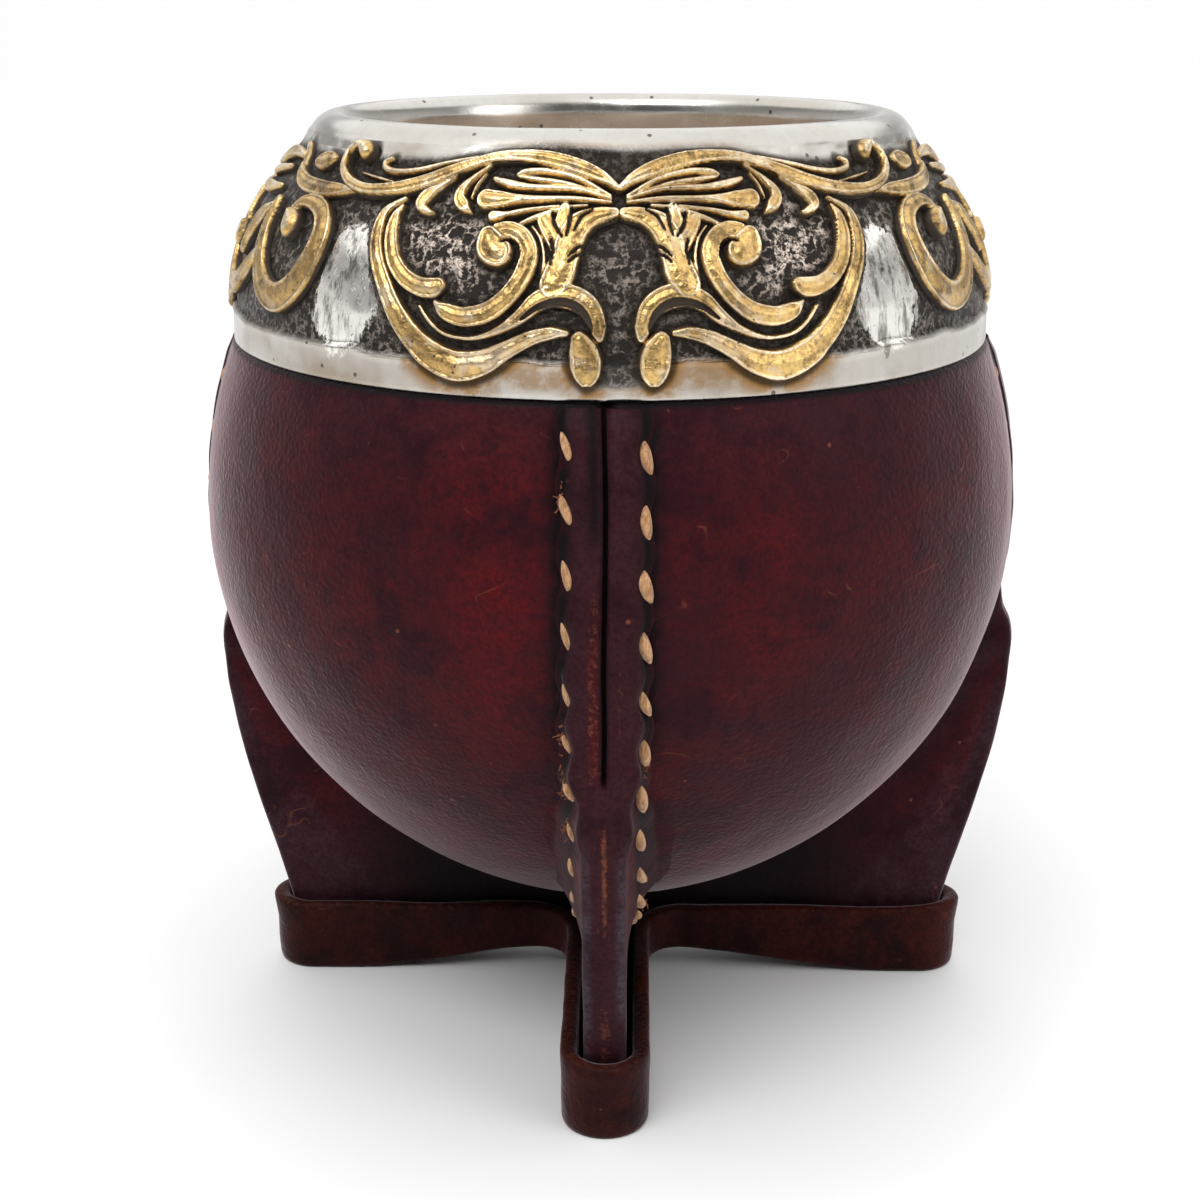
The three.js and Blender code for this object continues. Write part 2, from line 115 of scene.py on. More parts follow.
# Brass ornament. A place is (along the band from the motif's middle, up the ground line, half width),
# after the relief of its stroke.
ORNAMENT_TURN = math.radians(1.35)
ORNAMENT_RADIUS = 43
RELIEF_CELL = 0.13
ROUND_RELIEF = 1.4  # strokes at least this high are round beads
STROKE_STEP = 0.12  # spacing of the points along a stroke
STROKE_MARGIN = 4  # a stroke is reckoned with this far round its points
RIM_DISH = 0.16  # a ribbon's face sinks by this share behind its rim
FACE_BULGE = 0.18  # and rises by this one in the middle
BAND_REACH = 45  # half a motif ends within this distance of its middle
FAR = 2.5  # distances to the ornament count no further than this
PATCH = ((30.6, 9.6), (4.6, 6.4))  # middle and half size of a polished patch beside a scroll
CHASED = ((19, 14.5), (7, 5.5))  # and of the chased ground inside it
SCROLL_STROKES = {
    "large_scroll": (0.85, [
        (25.4, 19.2, 0.35), (27.3, 17.6, 0.65), (27.4, 15.3, 0.8), (26.5, 12.8, 0.85), (24.8, 10.2, 0.95),
        (22.8, 7.4, 1.15), (20.8, 5.3, 1.35), (18.6, 3.8, 1.55), (16, 3, 1.65), (13.4, 3.5, 1.35),
        (11, 4.8, 0.95), (8.6, 6, 0.8), (6.6, 6.5, 0.7), (5.2, 6.5, 0.45),
    ]),
    "inner_leaf": (0.95, [
        (25.3, 18.3, 0.35), (25.6, 17, 0.7), (25.3, 15, 0.85), (24.2, 12.7, 0.9), (22.5, 11.1, 0.95),
        (20.7, 10.3, 1), (19.2, 10.2, 1.05), (18.4, 10.5, 0.8),
    ]),
    "volute": (1.05, [
        (18.6, 8.9, 0.35), (17.3, 8.1, 0.85), (15.4, 7.7, 1), (13.1, 8.2, 1.05), (11.4, 9.4, 1),
        (10.1, 11, 1), (9.4, 12.6, 1.05), (9.3, 14.2, 1.05), (10.2, 15.6, 1), (11.6, 16.2, 0.95),
        (12.8, 16.1, 0.85),
    ]),
    "volute_eye": (1.3, [(13.7, 15.4, 1.1), (13.2, 14.4, 1.75), (12.4, 13.9, 1.6)]),
    "hook": (0.95, [
        (20.3, 8.4, 0.25), (19, 7, 0.3), (17.4, 6, 0.3), (15.2, 5.7, 0.3), (13.4, 6, 0.4),
        (11.3, 6.9, 0.6), (9.5, 8.1, 0.8), (8.2, 9.3, 1), (6.8, 9.9, 1.1), (4.8, 9.9, 1.25),
        (3.1, 9, 1.2), (2.25, 7.4, 0.95), (2, 6.1, 0.6),
    ]),
    "drop": (1.2, [(3.9, 5.9, 0.9), (3.4, 4.5, 1.6), (3.2, 3.1, 1.5), (3.2, 1.9, 0.6)]),
    "calyx": (1.0, [
        (0.5, 18.2, 0.7), (2.6, 17.8, 1), (4.3, 16.8, 1.5), (5.2, 15.1, 1.6), (5.5, 13.6, 1.5),
        (6, 12.1, 1.7), (6.6, 11, 1.5),
    ]),
    "calyx_lobe": (0.82, [(8.5, 17.9, 0.5), (7.7, 17.1, 1.05), (6.8, 15.8, 1.15), (6, 14.4, 1)]),
    "calyx_tip": (0.82, [(5.9, 18.8, 0.7), (5.9, 17.3, 1.05)]),
    "calyx_rim": (0.8, [
        (9.3, 16.8, 0.2), (8.3, 15.6, 0.26), (7.8, 14.2, 0.28), (7.7, 12.8, 0.28), (8, 11.4, 0.18),
    ]),
    "leaf_and_tendril": (1.2, [
        (0.15, 20.9, 0.5), (2, 22.1, 0.75), (4.7, 23.2, 0.88), (7.9, 24, 0.86), (11.4, 24.3, 0.76),
        (14.6, 24.1, 0.7), (17.5, 23.3, 0.7), (20.3, 22.2, 0.78), (23.6, 20.9, 0.8), (27.4, 20, 0.76),
        (31.6, 19.7, 0.72), (35.2, 20.5, 0.7), (37.6, 22.1, 0.6), (38, 23.8, 0.55), (36.8, 24.7, 0.55),
    ]),
    "tendril_bead": (1.5, [(35.8, 24.7, 0.6), (34.6, 24.1, 1.2), (34.1, 23.8, 0.8)]),
    "first_vein": (1.1, [
        (0.9, 20.1, 0.25), (4.4, 21.9, 0.42), (8, 22.7, 0.46), (10.7, 22.7, 0.44), (11.8, 22.3, 0.3),
    ]),
    "first_vein_edge": (1.0, [(2.2, 20.5, 0.24), (6, 21.45, 0.38), (9.4, 21.85, 0.42), (11.6, 22.1, 0.25)]),
    "second_vein": (1.1, [
        (0.9, 19.8, 0.22), (4.2, 20.7, 0.4), (7.4, 20.9, 0.45), (9.9, 20.9, 0.5), (12.6, 21.2, 0.6),
        (14.4, 21.7, 0.45),
    ]),
    "leaf_club": (1.15, [
        (0.9, 19.4, 0.25), (4.7, 19.75, 0.38), (8.8, 19.65, 0.48), (11.6, 19.5, 0.68), (13.3, 19.4, 0.92),
        (14.9, 19.4, 1.15),
    ]),
    "third_vein": (1.05, [(6.6, 19, 0.2), (10, 18.5, 0.34), (12.2, 17.9, 0.5), (13.7, 17.6, 0.7)]),
    "fourth_vein": (1.0, [(3.5, 19.1, 0.22), (5.9, 18.8, 0.34), (8.9, 17.8, 0.38), (10.8, 16.9, 0.24)]),
    "first_leaflet": (1.05, [
        (15.3, 23.3, 0.25), (16.9, 22, 0.45), (18, 20.6, 0.65), (18.2, 19.5, 0.75), (17.4, 18.6, 0.75),
        (16.4, 18, 0.2),
    ]),
    "first_leaflet_vein": (1.0, [(15.7, 22.4, 0.16), (16.5, 21, 0.27), (16.8, 19.6, 0.2)]),
    "second_leaflet": (1.05, [
        (19.2, 22, 0.25), (21.1, 20.6, 0.55), (22.5, 19.4, 0.8), (22.8, 18.4, 0.7), (21.6, 17.8, 0.5),
        (20.9, 17.8, 0.18),
    ]),
    "upper_curl": (0.9, [
        (17.4, 24.2, 0.25), (21.2, 23.4, 0.36), (24.8, 22.5, 0.4), (27.8, 22.1, 0.44), (30, 22.3, 0.5),
        (30.7, 23, 0.45), (29.9, 23.5, 0.35),
    ]),
    "flick": (0.7, [(28.4, 21, 0.14), (31, 21.3, 0.26), (34, 21.7, 0.15)]),
    "eye_groove": (-1.1, [
        (12.3, 15, 0.16), (11.3, 15.1, 0.26), (10.6, 14.4, 0.34), (10.5, 13.3, 0.36), (11, 12.2, 0.24),
    ]),
    "hook_hollow": (-0.5, [
        (9.6, 7.7, 0.15), (7.9, 8.9, 0.34), (5.9, 9.4, 0.45), (4.3, 9, 0.45), (3.3, 8, 0.4),
        (2.8, 6.8, 0.2),
    ]),
    "calyx_lobe_groove": (-0.6, [(7.2, 18.3, 0.16), (6.9, 17, 0.22), (6, 15.7, 0.13)]),
    "calyx_tip_groove": (-0.6, [(5.2, 18.8, 0.16), (5.3, 17.3, 0.24), (5.5, 15.8, 0.13)]),
    "calyx_neck_groove": (-0.6, [(2.9, 18.5, 0.14), (4, 17.8, 0.22), (4.7, 16.3, 0.14)]),
    "calyx_side_groove": (-0.6, [(7.1, 15.4, 0.13), (6.8, 14.2, 0.2), (7, 12.9, 0.13)]),
    "calyx_upper_cut": (-0.6, [(3.3, 14.9, 0.17), (4.4, 14.5, 0.22), (5.2, 13.7, 0.1)]),
    "calyx_lower_cut": (-0.6, [(3.6, 14, 0.16), (4.6, 13.7, 0.2), (5.2, 13.1, 0.1)]),
}
SPRAY_STROKES = {
    "stem": (0.9, [
        (34.2, 19.6, 0.35), (31.5, 19.4, 0.75), (27.5, 19.3, 0.95), (23, 19.6, 0.95), (20.3, 20.4, 0.75),
        (18.6, 21.6, 0.45),
    ]),
    "open_scroll": (0.9, [
        (23.7, 16.2, 0.7), (24.9, 17.4, 0.75), (27.4, 17.6, 0.95), (30.2, 16.6, 1.2), (31.5, 14.3, 1.45),
        (30.9, 11.2, 1.65), (28.9, 8.6, 1.7), (25.7, 7.2, 1.65), (22.3, 8.1, 1.5), (19.8, 10.8, 1.3),
        (18.4, 14, 1.1), (18, 17, 0.7),
    ]),
    "scroll_eye": (1.5, [(24.2, 15.9, 0.7), (24.9, 14.9, 1.6), (25.1, 14.4, 1.2)]),
    "bud": (0.8, [(26.6, 22.9, 0.5), (24.6, 22.5, 1.2), (22.6, 22.3, 0.6)]),
    "upright_tendril": (0.6, [(19.6, 20.6, 0.6), (18.3, 22.3, 0.7), (17, 23.4, 0.65), (15.5, 24, 0.5)]),
    "lower_scroll": (1.0, [
        (18.9, 11.6, 0.5), (16.4, 9.2, 0.9), (13.2, 7.4, 1.15), (9.6, 6.8, 1.25), (6.4, 8, 1.15),
        (5, 10.4, 1), (5.6, 12.8, 0.9), (7.6, 13.6, 0.8),
    ]),
    "lower_eye": (1.5, [(8.3, 13, 0.7), (8.7, 11.9, 1.5)]),
    "side_leaf": (1.0, [(16.6, 16.4, 0.4), (14.4, 14.6, 1), (12.6, 12.4, 1.1), (12.2, 10.6, 0.5)]),
    "upper_leaf": (0.9, [
        (17.2, 22.6, 0.5), (13, 22.8, 0.75), (9, 22.2, 0.85), (4.6, 21, 0.7), (0.3, 20.4, 0.55),
    ]),
    "upper_leaf_vein": (1.0, [(14.4, 21, 0.4), (9.6, 20.3, 0.6), (5, 19.5, 0.5), (0.5, 19.3, 0.4)]),
    "leaf_point": (1.0, [(15.4, 18.6, 0.4), (10.4, 18, 0.8), (5.6, 18, 0.6), (1, 18.2, 0.35)]),
    "middle_drop": (1.1, [(0, 17, 0.4), (0, 14.6, 1.3), (0, 12.6, 1.2), (0, 10.4, 0.4)]),
    "middle_leaf": (1.0, [
        (1.6, 16.6, 0.35), (3.1, 14.4, 0.8), (3.4, 11.8, 0.85), (2.4, 9.2, 0.75), (0.4, 7.4, 0.5),
    ]),
    "foot_leaf": (1.1, [(5.2, 5.6, 0.4), (3.3, 4.8, 1), (1.4, 4, 1.1), (0, 3, 0.7)]),
}

# Leather colours: deep, dark, middle, red and worn for each leather, then those they share, which also serve
# for painted shade and a painted edge highlight.
OXBLOOD = [
    (0.013, 0.0035, 0.006), (0.028, 0.005, 0.0075), (0.058, 0.0055, 0.0072), (0.08, 0.005, 0.006),
    (0.2, 0.06, 0.03),
]
TRAY_BROWN = [
    (0.008, 0.003, 0.003), (0.015, 0.0045, 0.0045), (0.044, 0.0075, 0.006), (0.062, 0.01, 0.0065),
    (0.13, 0.038, 0.018),
]
# Purple dye on the pleats, also used as painted shade at the top of the belly.
PURPLE_DYE_AND_SHADE = (0.034, 0.011, 0.0145)
# Painted highlight along the fins' rounded edges.
EDGE_HIGHLIGHT_TINT = (0.062, 0.05, 0.066)
# Black for dye and for painted shade in creases, holes, the slit and low down.
BLACK_DYE_AND_SHADE = (0.005, 0.0035, 0.0045)

# Camera and floor: places in metres, lens and sensor in millimetres.
CAMERA_PLACE = (0, -0.2323, 0.1207)
CAMERA_TILT = math.radians(90 - 17.41)
CAMERA_TURN = math.radians(0.282)
CAMERA_LENS = 59.64
SENSOR_WIDTH = 36
FLOOR_REACH = 30.0


def smoothstep(value, low, high):
    """Smooth change from 0 at low to 1 at high, either of which may be the larger."""
    share = np.clip((np.asarray(value, float) - low) / (high - low), 0, 1)
    return share * share * (3 - 2 * share)


def bell(value, width, power=2):
    """1 at zero, fading to nothing within a few widths."""
    return np.exp(-np.abs(value / width) ** power)


def oval(along, up, middle, size):
    """Square of the distance from an oval's middle over a grid, 1 on its outline."""
    return ((along[:, None] - middle[0]) / size[0]) ** 2 + ((up[None, :] - middle[1]) / size[1]) ** 2


def blend(first, second, share):
    return first + (second - first) * share


def unit(vectors):
    """Rows of vectors scaled to length 1."""
    return vectors / np.linalg.norm(vectors, axis=1)[:, None]


def circle(count):
    """Equally spaced angles all round."""
    return np.linspace(0, FULL_TURN, count, endpoint=False)


def line_lengths(line):
    """Distance of each point of a line from its start."""
    return np.append(0, np.cumsum(np.linalg.norm(np.diff(line, axis=0), axis=1)))


def spaced(line, count):
    """Equally spaced points along a line."""
    lengths = line_lengths(line)
    places = np.linspace(0, lengths[-1], count)
    return np.column_stack([np.interp(places, lengths, column) for column in line.T])


def spline(points, count):
    """Equally spaced points along a smooth curve through the given ones."""
    points = np.array(points, float)
    ends = np.vstack([points[:1], points, points[-1:]])
    share = np.linspace(0, 1, 24, endpoint=False)[:, None]
    dense = []
    for before, start, stop, after in zip(ends, ends[1:], ends[2:], ends[3:]):
        leave = (stop - before) / 2
        arrive = (after - start) / 2
        square = 3 * (stop - start) - 2 * leave - arrive
        cube = 2 * (start - stop) + leave + arrive
        dense.append(start + leave * share + square * share**2 + cube * share**3)
    return spaced(np.vstack(dense + [points[-1:]]), count)


def at_angle(angle, radius, height):
    parts = np.broadcast_arrays(radius * np.sin(angle), -radius * np.cos(angle), height)
    return np.stack(parts, -1)


def lathe(angles, profile, out=0):
    """A row of points round the axis for each radius and height of a profile, moved outwards."""
    return at_angle(angles, profile[:, :1] + out, profile[:, 1:])


def turned(points, angle):
    """Points turned about the Z axis."""
    x, y, z = np.moveaxis(np.asarray(points, float), -1, 0)
    cosine = math.cos(angle)
    sine = math.sin(angle)
    return np.stack([x * cosine - y * sine, x * sine + y * cosine, z], -1)


def hand_sewn(points):
    """Points of the sewn parts, turned a little and with the fins' uneven reach."""
    points = turned(points, LEG_TURN)
    x, y, height = points.T
    beyond = np.hypot(x, y) - belly_radius(height)
    reach = np.where(x > 0, RIGHT_LONG, LEFT_SHORT)
    points[:, 0] += reach * smoothstep(np.abs(x), 8, 30) * smoothstep(beyond, 0, 3)
    return points


def ripple(points, size, seed):
    """Seeded smooth unevenness, mostly between -1 and 1, with swells of about the given size."""
    source = np.random.default_rng(seed)
    waves = 20
    directions = unit(source.normal(size=(waves, 3)))
    directions *= (math.pi / (size * source.uniform(0.7, 1.5, waves)))[:, None]
    phases = source.uniform(0, FULL_TURN, waves)
    return np.sin(points @ directions.T + phases).sum(-1) / math.sqrt(2 * waves)


def grid_faces(rows, columns, closed=False):
    """Quads of a grid of points listed row by row, closed round the columns if asked."""
    across = columns if closed else columns - 1
    row, column = np.meshgrid(np.arange(rows - 1), np.arange(across), indexing="ij")
    beside = (column + 1) % columns
    here = row * columns
    above = here + columns
    return np.stack([here + column, here + beside, above + beside, above + column], -1).reshape(-1, 4)


def joined(parts):
    """Several (points, faces, attributes) meshes as one."""
    points = [part[0].reshape(-1, 3) for part in parts]
    starts = np.cumsum([0] + [len(part) for part in points])
    faces = np.vstack([part[1] + start for part, start in zip(parts, starts)])
    attributes = {name: np.concatenate([part[2][name].ravel() for part in parts]) for name in parts[0][2]}
    return np.vstack(points), faces, attributes


def add_object(name, data):
    made = bpy.data.objects.new(name, data)
    bpy.context.scene.collection.objects.link(made)
    return made


def make_piece(name, points, faces, materials, replaces=(), attributes=None, second_from=None):
    """A smooth mesh object that rides on the cup. Faces from second_from on take the second material."""
    mesh = bpy.data.meshes.new(name)
    mesh.from_pydata((points.reshape(-1, 3) * MM).tolist(), [], [list(face) for face in faces])
    for key, values in (attributes or {}).items():
        layer = mesh.attributes.new(key, "FLOAT", "POINT")
        layer.data.foreach_set("value", values.astype(np.float32).ravel())
    mesh.shade_smooth()
    for material in materials:
        mesh.materials.append(material)
    if second_from is not None:
        chosen = np.arange(len(faces)) >= second_from
        mesh.polygons.foreach_set("material_index", chosen.astype(np.int32))
    piece = add_object(name, mesh)
    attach(piece, "root")
    if replaces:
        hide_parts(*replaces)


class Nodes:
    """A node tree in the making."""

    def __init__(self, owner):
        owner.use_nodes = True
        self.tree = owner.node_tree

    def feed(self, socket, value):
        if isinstance(value, bpy.types.NodeSocket):
            self.tree.links.new(value, socket)
        else:
            socket.default_value = value

    def add(self, kind, inputs, **settings):
        node = self.tree.nodes.new(kind)
        for key, value in settings.items():
            setattr(node, key, value)
        for key, value in inputs.items():
            self.feed(node.inputs[key], value)
        return node

    def math(self, operation, first, second=0.0):
        return self.add("ShaderNodeMath", {0: first, 1: second}, operation=operation).outputs[0]

    def times(self, first, second):
        return self.math("MULTIPLY", first, second)

    def plus(self, first, second):
        return self.math("ADD", first, second)

    def minus(self, first, second):
        return self.math("SUBTRACT", first, second)

    def fade(self, value, low, high, start=0.0, stop=1.0):
        """Smooth change from start to stop while the value goes from low to high."""
        inputs = {"Value": value, "From Min": low, "From Max": high, "To Min": start, "To Max": stop}
        return self.add("ShaderNodeMapRange", inputs, interpolation_type="SMOOTHSTEP").outputs["Result"]


class Look(Nodes):
    """A node material in the making. Its textures use the object's own space, in millimetres."""

    def __init__(self, name, **constants):
        self.material = bpy.data.materials.new(name)
        super().__init__(self.material)
        self.shader = self.tree.nodes["Principled BSDF"]
        self.place = self.add("ShaderNodeTexCoord", {}).outputs["Object"]
        for key, value in constants.items():
            self.shader.inputs[key.replace("_", " ")].default_value = value

    def spread(self, size, stretch=(1, 1, 1), turn=(0, 0, 0)):
        """Texture space with cells of a size in millimetres, stretched along turned axes."""
        scale = [1 / (MM * size * share) for share in stretch]
        inputs = {"Vector": self.place, "Scale": scale, "Rotation": turn}
        return self.add("ShaderNodeMapping", inputs, vector_type="POINT").outputs["Vector"]

    def noise(self, size, detail=3.0, roughness=0.55, **spread):
        inputs = {"Vector": self.spread(size, **spread), "Scale": 1.0,
                  "Detail": detail, "Roughness": roughness}
        return self.add("ShaderNodeTexNoise", inputs).outputs["Fac"]

    def cells(self, size, feature="F1", **spread):
        inputs = {"Vector": self.spread(size, **spread), "Scale": 1.0}
        return self.add("ShaderNodeTexVoronoi", inputs, feature=feature).outputs["Distance"]

    def attribute(self, name):
        return self.add("ShaderNodeAttribute", {}, attribute_name=name).outputs["Fac"]

    def mix(self, share, first, second):
        def colour(value):
            return (*value, 1.0) if isinstance(value, tuple) else value
        inputs = {0: share, 6: colour(first), 7: colour(second)}
        return self.add("ShaderNodeMix", inputs, data_type="RGBA").outputs[2]

    def layers(self, colour, coats):
        """A colour under coats of others, each with the share that it covers."""
        for share, coat in coats:
            colour = self.mix(share, colour, coat)
        return colour

    def bump(self, height, depth, below=None):
        """Surface relief of a depth in millimetres, over another one if given."""
        inputs = {"Height": height, "Distance": depth * MM, "Strength": 1.0}
        if below is not None:
            inputs["Normal"] = below
        return self.add("ShaderNodeBump", inputs).outputs["Normal"]

    def finish(self, colour, roughness, normal, metallic=None):
        self.feed(self.shader.inputs["Base Color"], colour)
        self.feed(self.shader.inputs["Roughness"], roughness)
        self.feed(self.shader.inputs["Normal"], normal)
        if metallic is not None:
            self.feed(self.shader.inputs["Metallic"], metallic)
        return self.material


def scratches(look, size, turn):
    """Thin, long, sparse lines: 1 on a line and 0 off it."""
    lines = look.noise(size, detail=2.0, stretch=(1, 14, 1), turn=turn)
    return look.fade(look.math("ABSOLUTE", look.minus(lines, 0.5)), 0.006, 0.0)


def leather_look(name, dyes, sheen):
    """Waxed leather: cloudy dye, fine grain, scratches, rubbed and blackened places, painted shade and
    painted edge highlights.
    """
    look = Look(name, Specular_IOR_Level=0.05, Sheen_Weight=sheen, Sheen_Roughness=0.3,
                Sheen_Tint=(1.0, 0.8, 0.84, 1.0))
    deep, dark, middle, red, worn = dyes
    clouds = look.noise(22.0, detail=5.0, roughness=0.65)
    mottle = look.noise(5.0, detail=6.0, roughness=0.7)
    creases = look.noise(1.3, detail=5.0, roughness=0.7)
    grain = look.noise(0.45, detail=3.0, roughness=0.6)
    pores = look.cells(0.5, feature="SMOOTH_F1")
    tone = look.plus(look.times(clouds, 0.6), look.times(mottle, 0.4))
    redness = look.times(look.attribute("red"), look.fade(mottle, 0.25, 0.6, 0.4, 1.0))
    edge_highlight = look.times(look.attribute("pale"), look.fade(mottle, 0.3, 0.6))
    blotches = look.noise(11.0, detail=7.0, roughness=0.72)
    dots = look.fade(look.cells(5.5), 0.05, 0.035, 0.0, 0.55)
    marks = look.math("MAXIMUM", scratches(look, 7.0, (0.4, 0.9, 0.3)), scratches(look, 9.0, (1.1, 0.2, 1.3)))
    nicks = scratches(look, 11.0, (0.7, 1.2, 0.5))
    wear = look.attribute("wear")
    scuffs = look.noise(0.55, detail=4.0, roughness=0.75)
    rubbed = look.fade(look.plus(wear, look.times(scuffs, 0.8)), 0.72, 1.0)
    colour = look.layers(dark, [
        (look.fade(tone, 0.41, 0.59), middle),
        (redness, red),
        # Purple dye, and painted shade where the belly meets the ferrule.
        (look.attribute("purple"), PURPLE_DYE_AND_SHADE),
        # Painted highlight on the fins' rounded edges.
        (edge_highlight, EDGE_HIGHLIGHT_TINT),
        # Dark dye gathers in blotches and in the grain.
        (look.fade(blotches, 0.47, 0.64, 0.0, 0.85), deep),
        (look.fade(creases, 0.42, 0.7, 0.0, 0.6), dark),
        (look.fade(grain, 0.45, 0.62, 0.0, 0.45), deep),
        (dots, worn),
        (look.times(marks, look.fade(clouds, 0.5, 0.7, 0.0, 0.6)), deep),
        (look.times(nicks, look.fade(mottle, 0.54, 0.64, 0.0, 0.35)), worn),
        (look.times(rubbed, look.fade(wear, 0.05, 0.35, 0.0, 0.7)), worn),
        # Black dye, and painted shade in creases, stitch holes, the slit and under the belly.
        (look.attribute("black"), BLACK_DYE_AND_SHADE),
    ])
    normal = look.bump(clouds, 0.4)
    normal = look.bump(creases, 0.05, normal)
    normal = look.bump(pores, 0.06, normal)
    return look.finish(colour, look.fade(mottle, 0.25, 0.75, 0.42, 0.55), normal)


def brass_look():
    """Cast brass: crests worn pale and brightened by a painted highlight, pits, and black patina on the
    flanks.
    """
    look = Look("brass_over_patina")
    crest = look.attribute("crest")
    cast = look.noise(1.6, detail=5.0, roughness=0.65)
    tarnish = look.noise(7.0, detail=4.0, roughness=0.6)
    pits = look.times(look.fade(look.cells(1.15), 0.16, 0.1), look.fade(tarnish, 0.45, 0.62))
    grime = look.fade(look.noise(2.2, detail=6.0, roughness=0.75), 0.48, 0.64)
    grain = look.noise(0.5, detail=5.0, roughness=0.75)
    rubbed = look.noise(4.0, detail=4.0, roughness=0.6)
    gold = look.layers((0.72, 0.48, 0.18), [
        # Pale crests: worn brass, with a painted highlight along the rims.
        (look.fade(crest, 0.88, 0.99), (0.95, 0.82, 0.6)),
        (look.fade(tarnish, 0.4, 0.62, 0.0, 0.6), (0.34, 0.205, 0.08)),
        (look.times(grime, look.fade(crest, 0.99, 0.84, 0.15, 0.8)), (0.095, 0.06, 0.032)),
        (look.fade(grain, 0.44, 0.62, 0.0, 0.42), (0.17, 0.11, 0.055)),
        (look.fade(rubbed, 0.52, 0.66, 0.0, 0.42), (0.92, 0.78, 0.58)),
    ])
    shown = look.fade(look.plus(crest, look.times(cast, 0.3)), 0.62, 0.88)
    shown = look.times(shown, look.minus(1.0, pits))
    colour = look.mix(shown, (0.05, 0.035, 0.024), gold)
    roughness = look.fade(shown, 0.0, 1.0, 0.6, 0.3)
    normal = look.bump(tarnish, 0.7)
    normal = look.bump(cast, 0.2, normal)
    return look.finish(colour, roughness, normal, look.fade(shown, 0.0, 0.6, 0.4, 1.0))


def silver_look():
    """Nickel silver: polished border, lip and patches, dark chased ground with painted highlights on its
    raised folds, stained lining.
    """
    look = Look("nickel_silver_and_patina")
    chased = look.cells(1.1, feature="SMOOTH_F1", stretch=(1, 1, 1.6))
    cast = look.noise(0.7, detail=5.0, roughness=0.7)
    stain = look.noise(6.0, detail=5.0, roughness=0.65)
    streaks = look.noise(1.2, detail=5.0, roughness=0.7, stretch=(1, 1, 5))
    blots = look.noise(3.5, detail=6.0, roughness=0.7)
    patch = look.plus(look.times(streaks, 0.8), look.times(blots, 1.1))
    patch = look.fade(look.plus(look.attribute("patch"), patch), 1.4, 1.5)
    patch = look.times(patch, look.fade(cast, 0.25, 0.4))
    bright = look.math("MAXIMUM", look.attribute("polish"), patch)
    folds = look.math("ABSOLUTE", look.minus(look.noise(1.5, detail=4.0, roughness=0.65), 0.5))
    # Painted highlights on the chased folds, stronger inside the scrolls.
    lump_highlights = look.times(look.fade(folds, 0.075, 0.0), look.fade(cast, 0.36, 0.6))
    lump_highlights = look.times(lump_highlights, look.fade(look.attribute("chased"), 0.0, 1.0, 0.3, 1.0))
    shade = look.attribute("shade")
    dull = look.attribute("dull")
    ground = look.layers((0.026, 0.021, 0.018), [(lump_highlights, (0.85, 0.72, 0.62)), (shade, (0.02, 0.015, 0.011))])
    soil = look.fade(look.noise(15.0, detail=4.0, roughness=0.55), 0.42, 0.66, 0.0, 0.8)
    cleaner_lip = look.fade(look.attribute("lip"), 0.0, 1.0, 1.0, 0.3)
    tinge = look.times(look.attribute("tinge"), look.fade(blots, 0.38, 0.56, 0.4, 1.0))
    smears = look.times(look.fade(streaks, 0.47, 0.64), look.fade(patch, 0.0, 1.0, 0.06, 0.8))
    metal = look.layers((0.55, 0.53, 0.495), [
        (look.times(soil, cleaner_lip), (0.29, 0.23, 0.165)),
        (patch, (0.88, 0.85, 0.8)),
        (dull, (0.78, 0.62, 0.47)),
        (tinge, (0.29, 0.155, 0.048)),
        (look.fade(look.cells(2.6), 0.12, 0.07, 0.0, 0.8), (0.05, 0.035, 0.02)),
        (smears, (0.13, 0.11, 0.09)),
        (look.fade(shade, 0.3, 0.85, 0.0, 0.9), (0.03, 0.02, 0.012)),
    ])
    colour = look.mix(bright, ground, metal)
    roughness = look.minus(look.fade(stain, 0.3, 0.8, 0.5, 0.62), look.times(bright, 0.3))
    relief = look.minus(look.plus(cast, chased), look.times(folds, 3.0))
    relief = look.times(relief, look.minus(1.0, bright))
    normal = look.bump(stain, 0.05)
    normal = look.bump(relief, 0.22, normal)
    metallic = look.minus(look.fade(bright, 0.0, 1.0, 0.8, 1.0), dull)
    return look.finish(colour, roughness, normal, metallic)


def thread_look(name, pale, dark, sheen):
    """Waxed thread with fibres along the stitch."""
    look = Look(name, Sheen_Weight=sheen, Sheen_Roughness=0.5)
    fibres = look.noise(0.35, detail=4.0, roughness=0.7, stretch=(1, 1, 5))
    dirt = look.noise(2.5, detail=3.0)
    colour = look.layers(dark, [
        (look.fade(fibres, 0.35, 0.65), pale),
        (look.fade(dirt, 0.55, 0.75, 0.0, 0.5), dark),
    ])
    return look.finish(colour, look.fade(fibres, 0.3, 0.7, 0.75, 0.6), look.bump(fibres, 0.12))


def calabash_look():
    """Dry fibrous inside of a gourd, with darker stains."""
    look = Look("calabash")
    fibres = look.noise(1.5, detail=6.0, roughness=0.7, stretch=(1, 1, 6))
    stain = look.noise(16.0, detail=4.0)
    colour = look.layers((0.2, 0.11, 0.045), [
        (look.fade(fibres, 0.3, 0.7), (0.42, 0.27, 0.13)),
        (look.fade(stain, 0.4, 0.7, 0.0, 0.7), (0.12, 0.06, 0.025)),
    ])
    return look.finish(colour, look.fade(fibres, 0.3, 0.7, 0.9, 0.75), look.bump(fibres, 0.25))


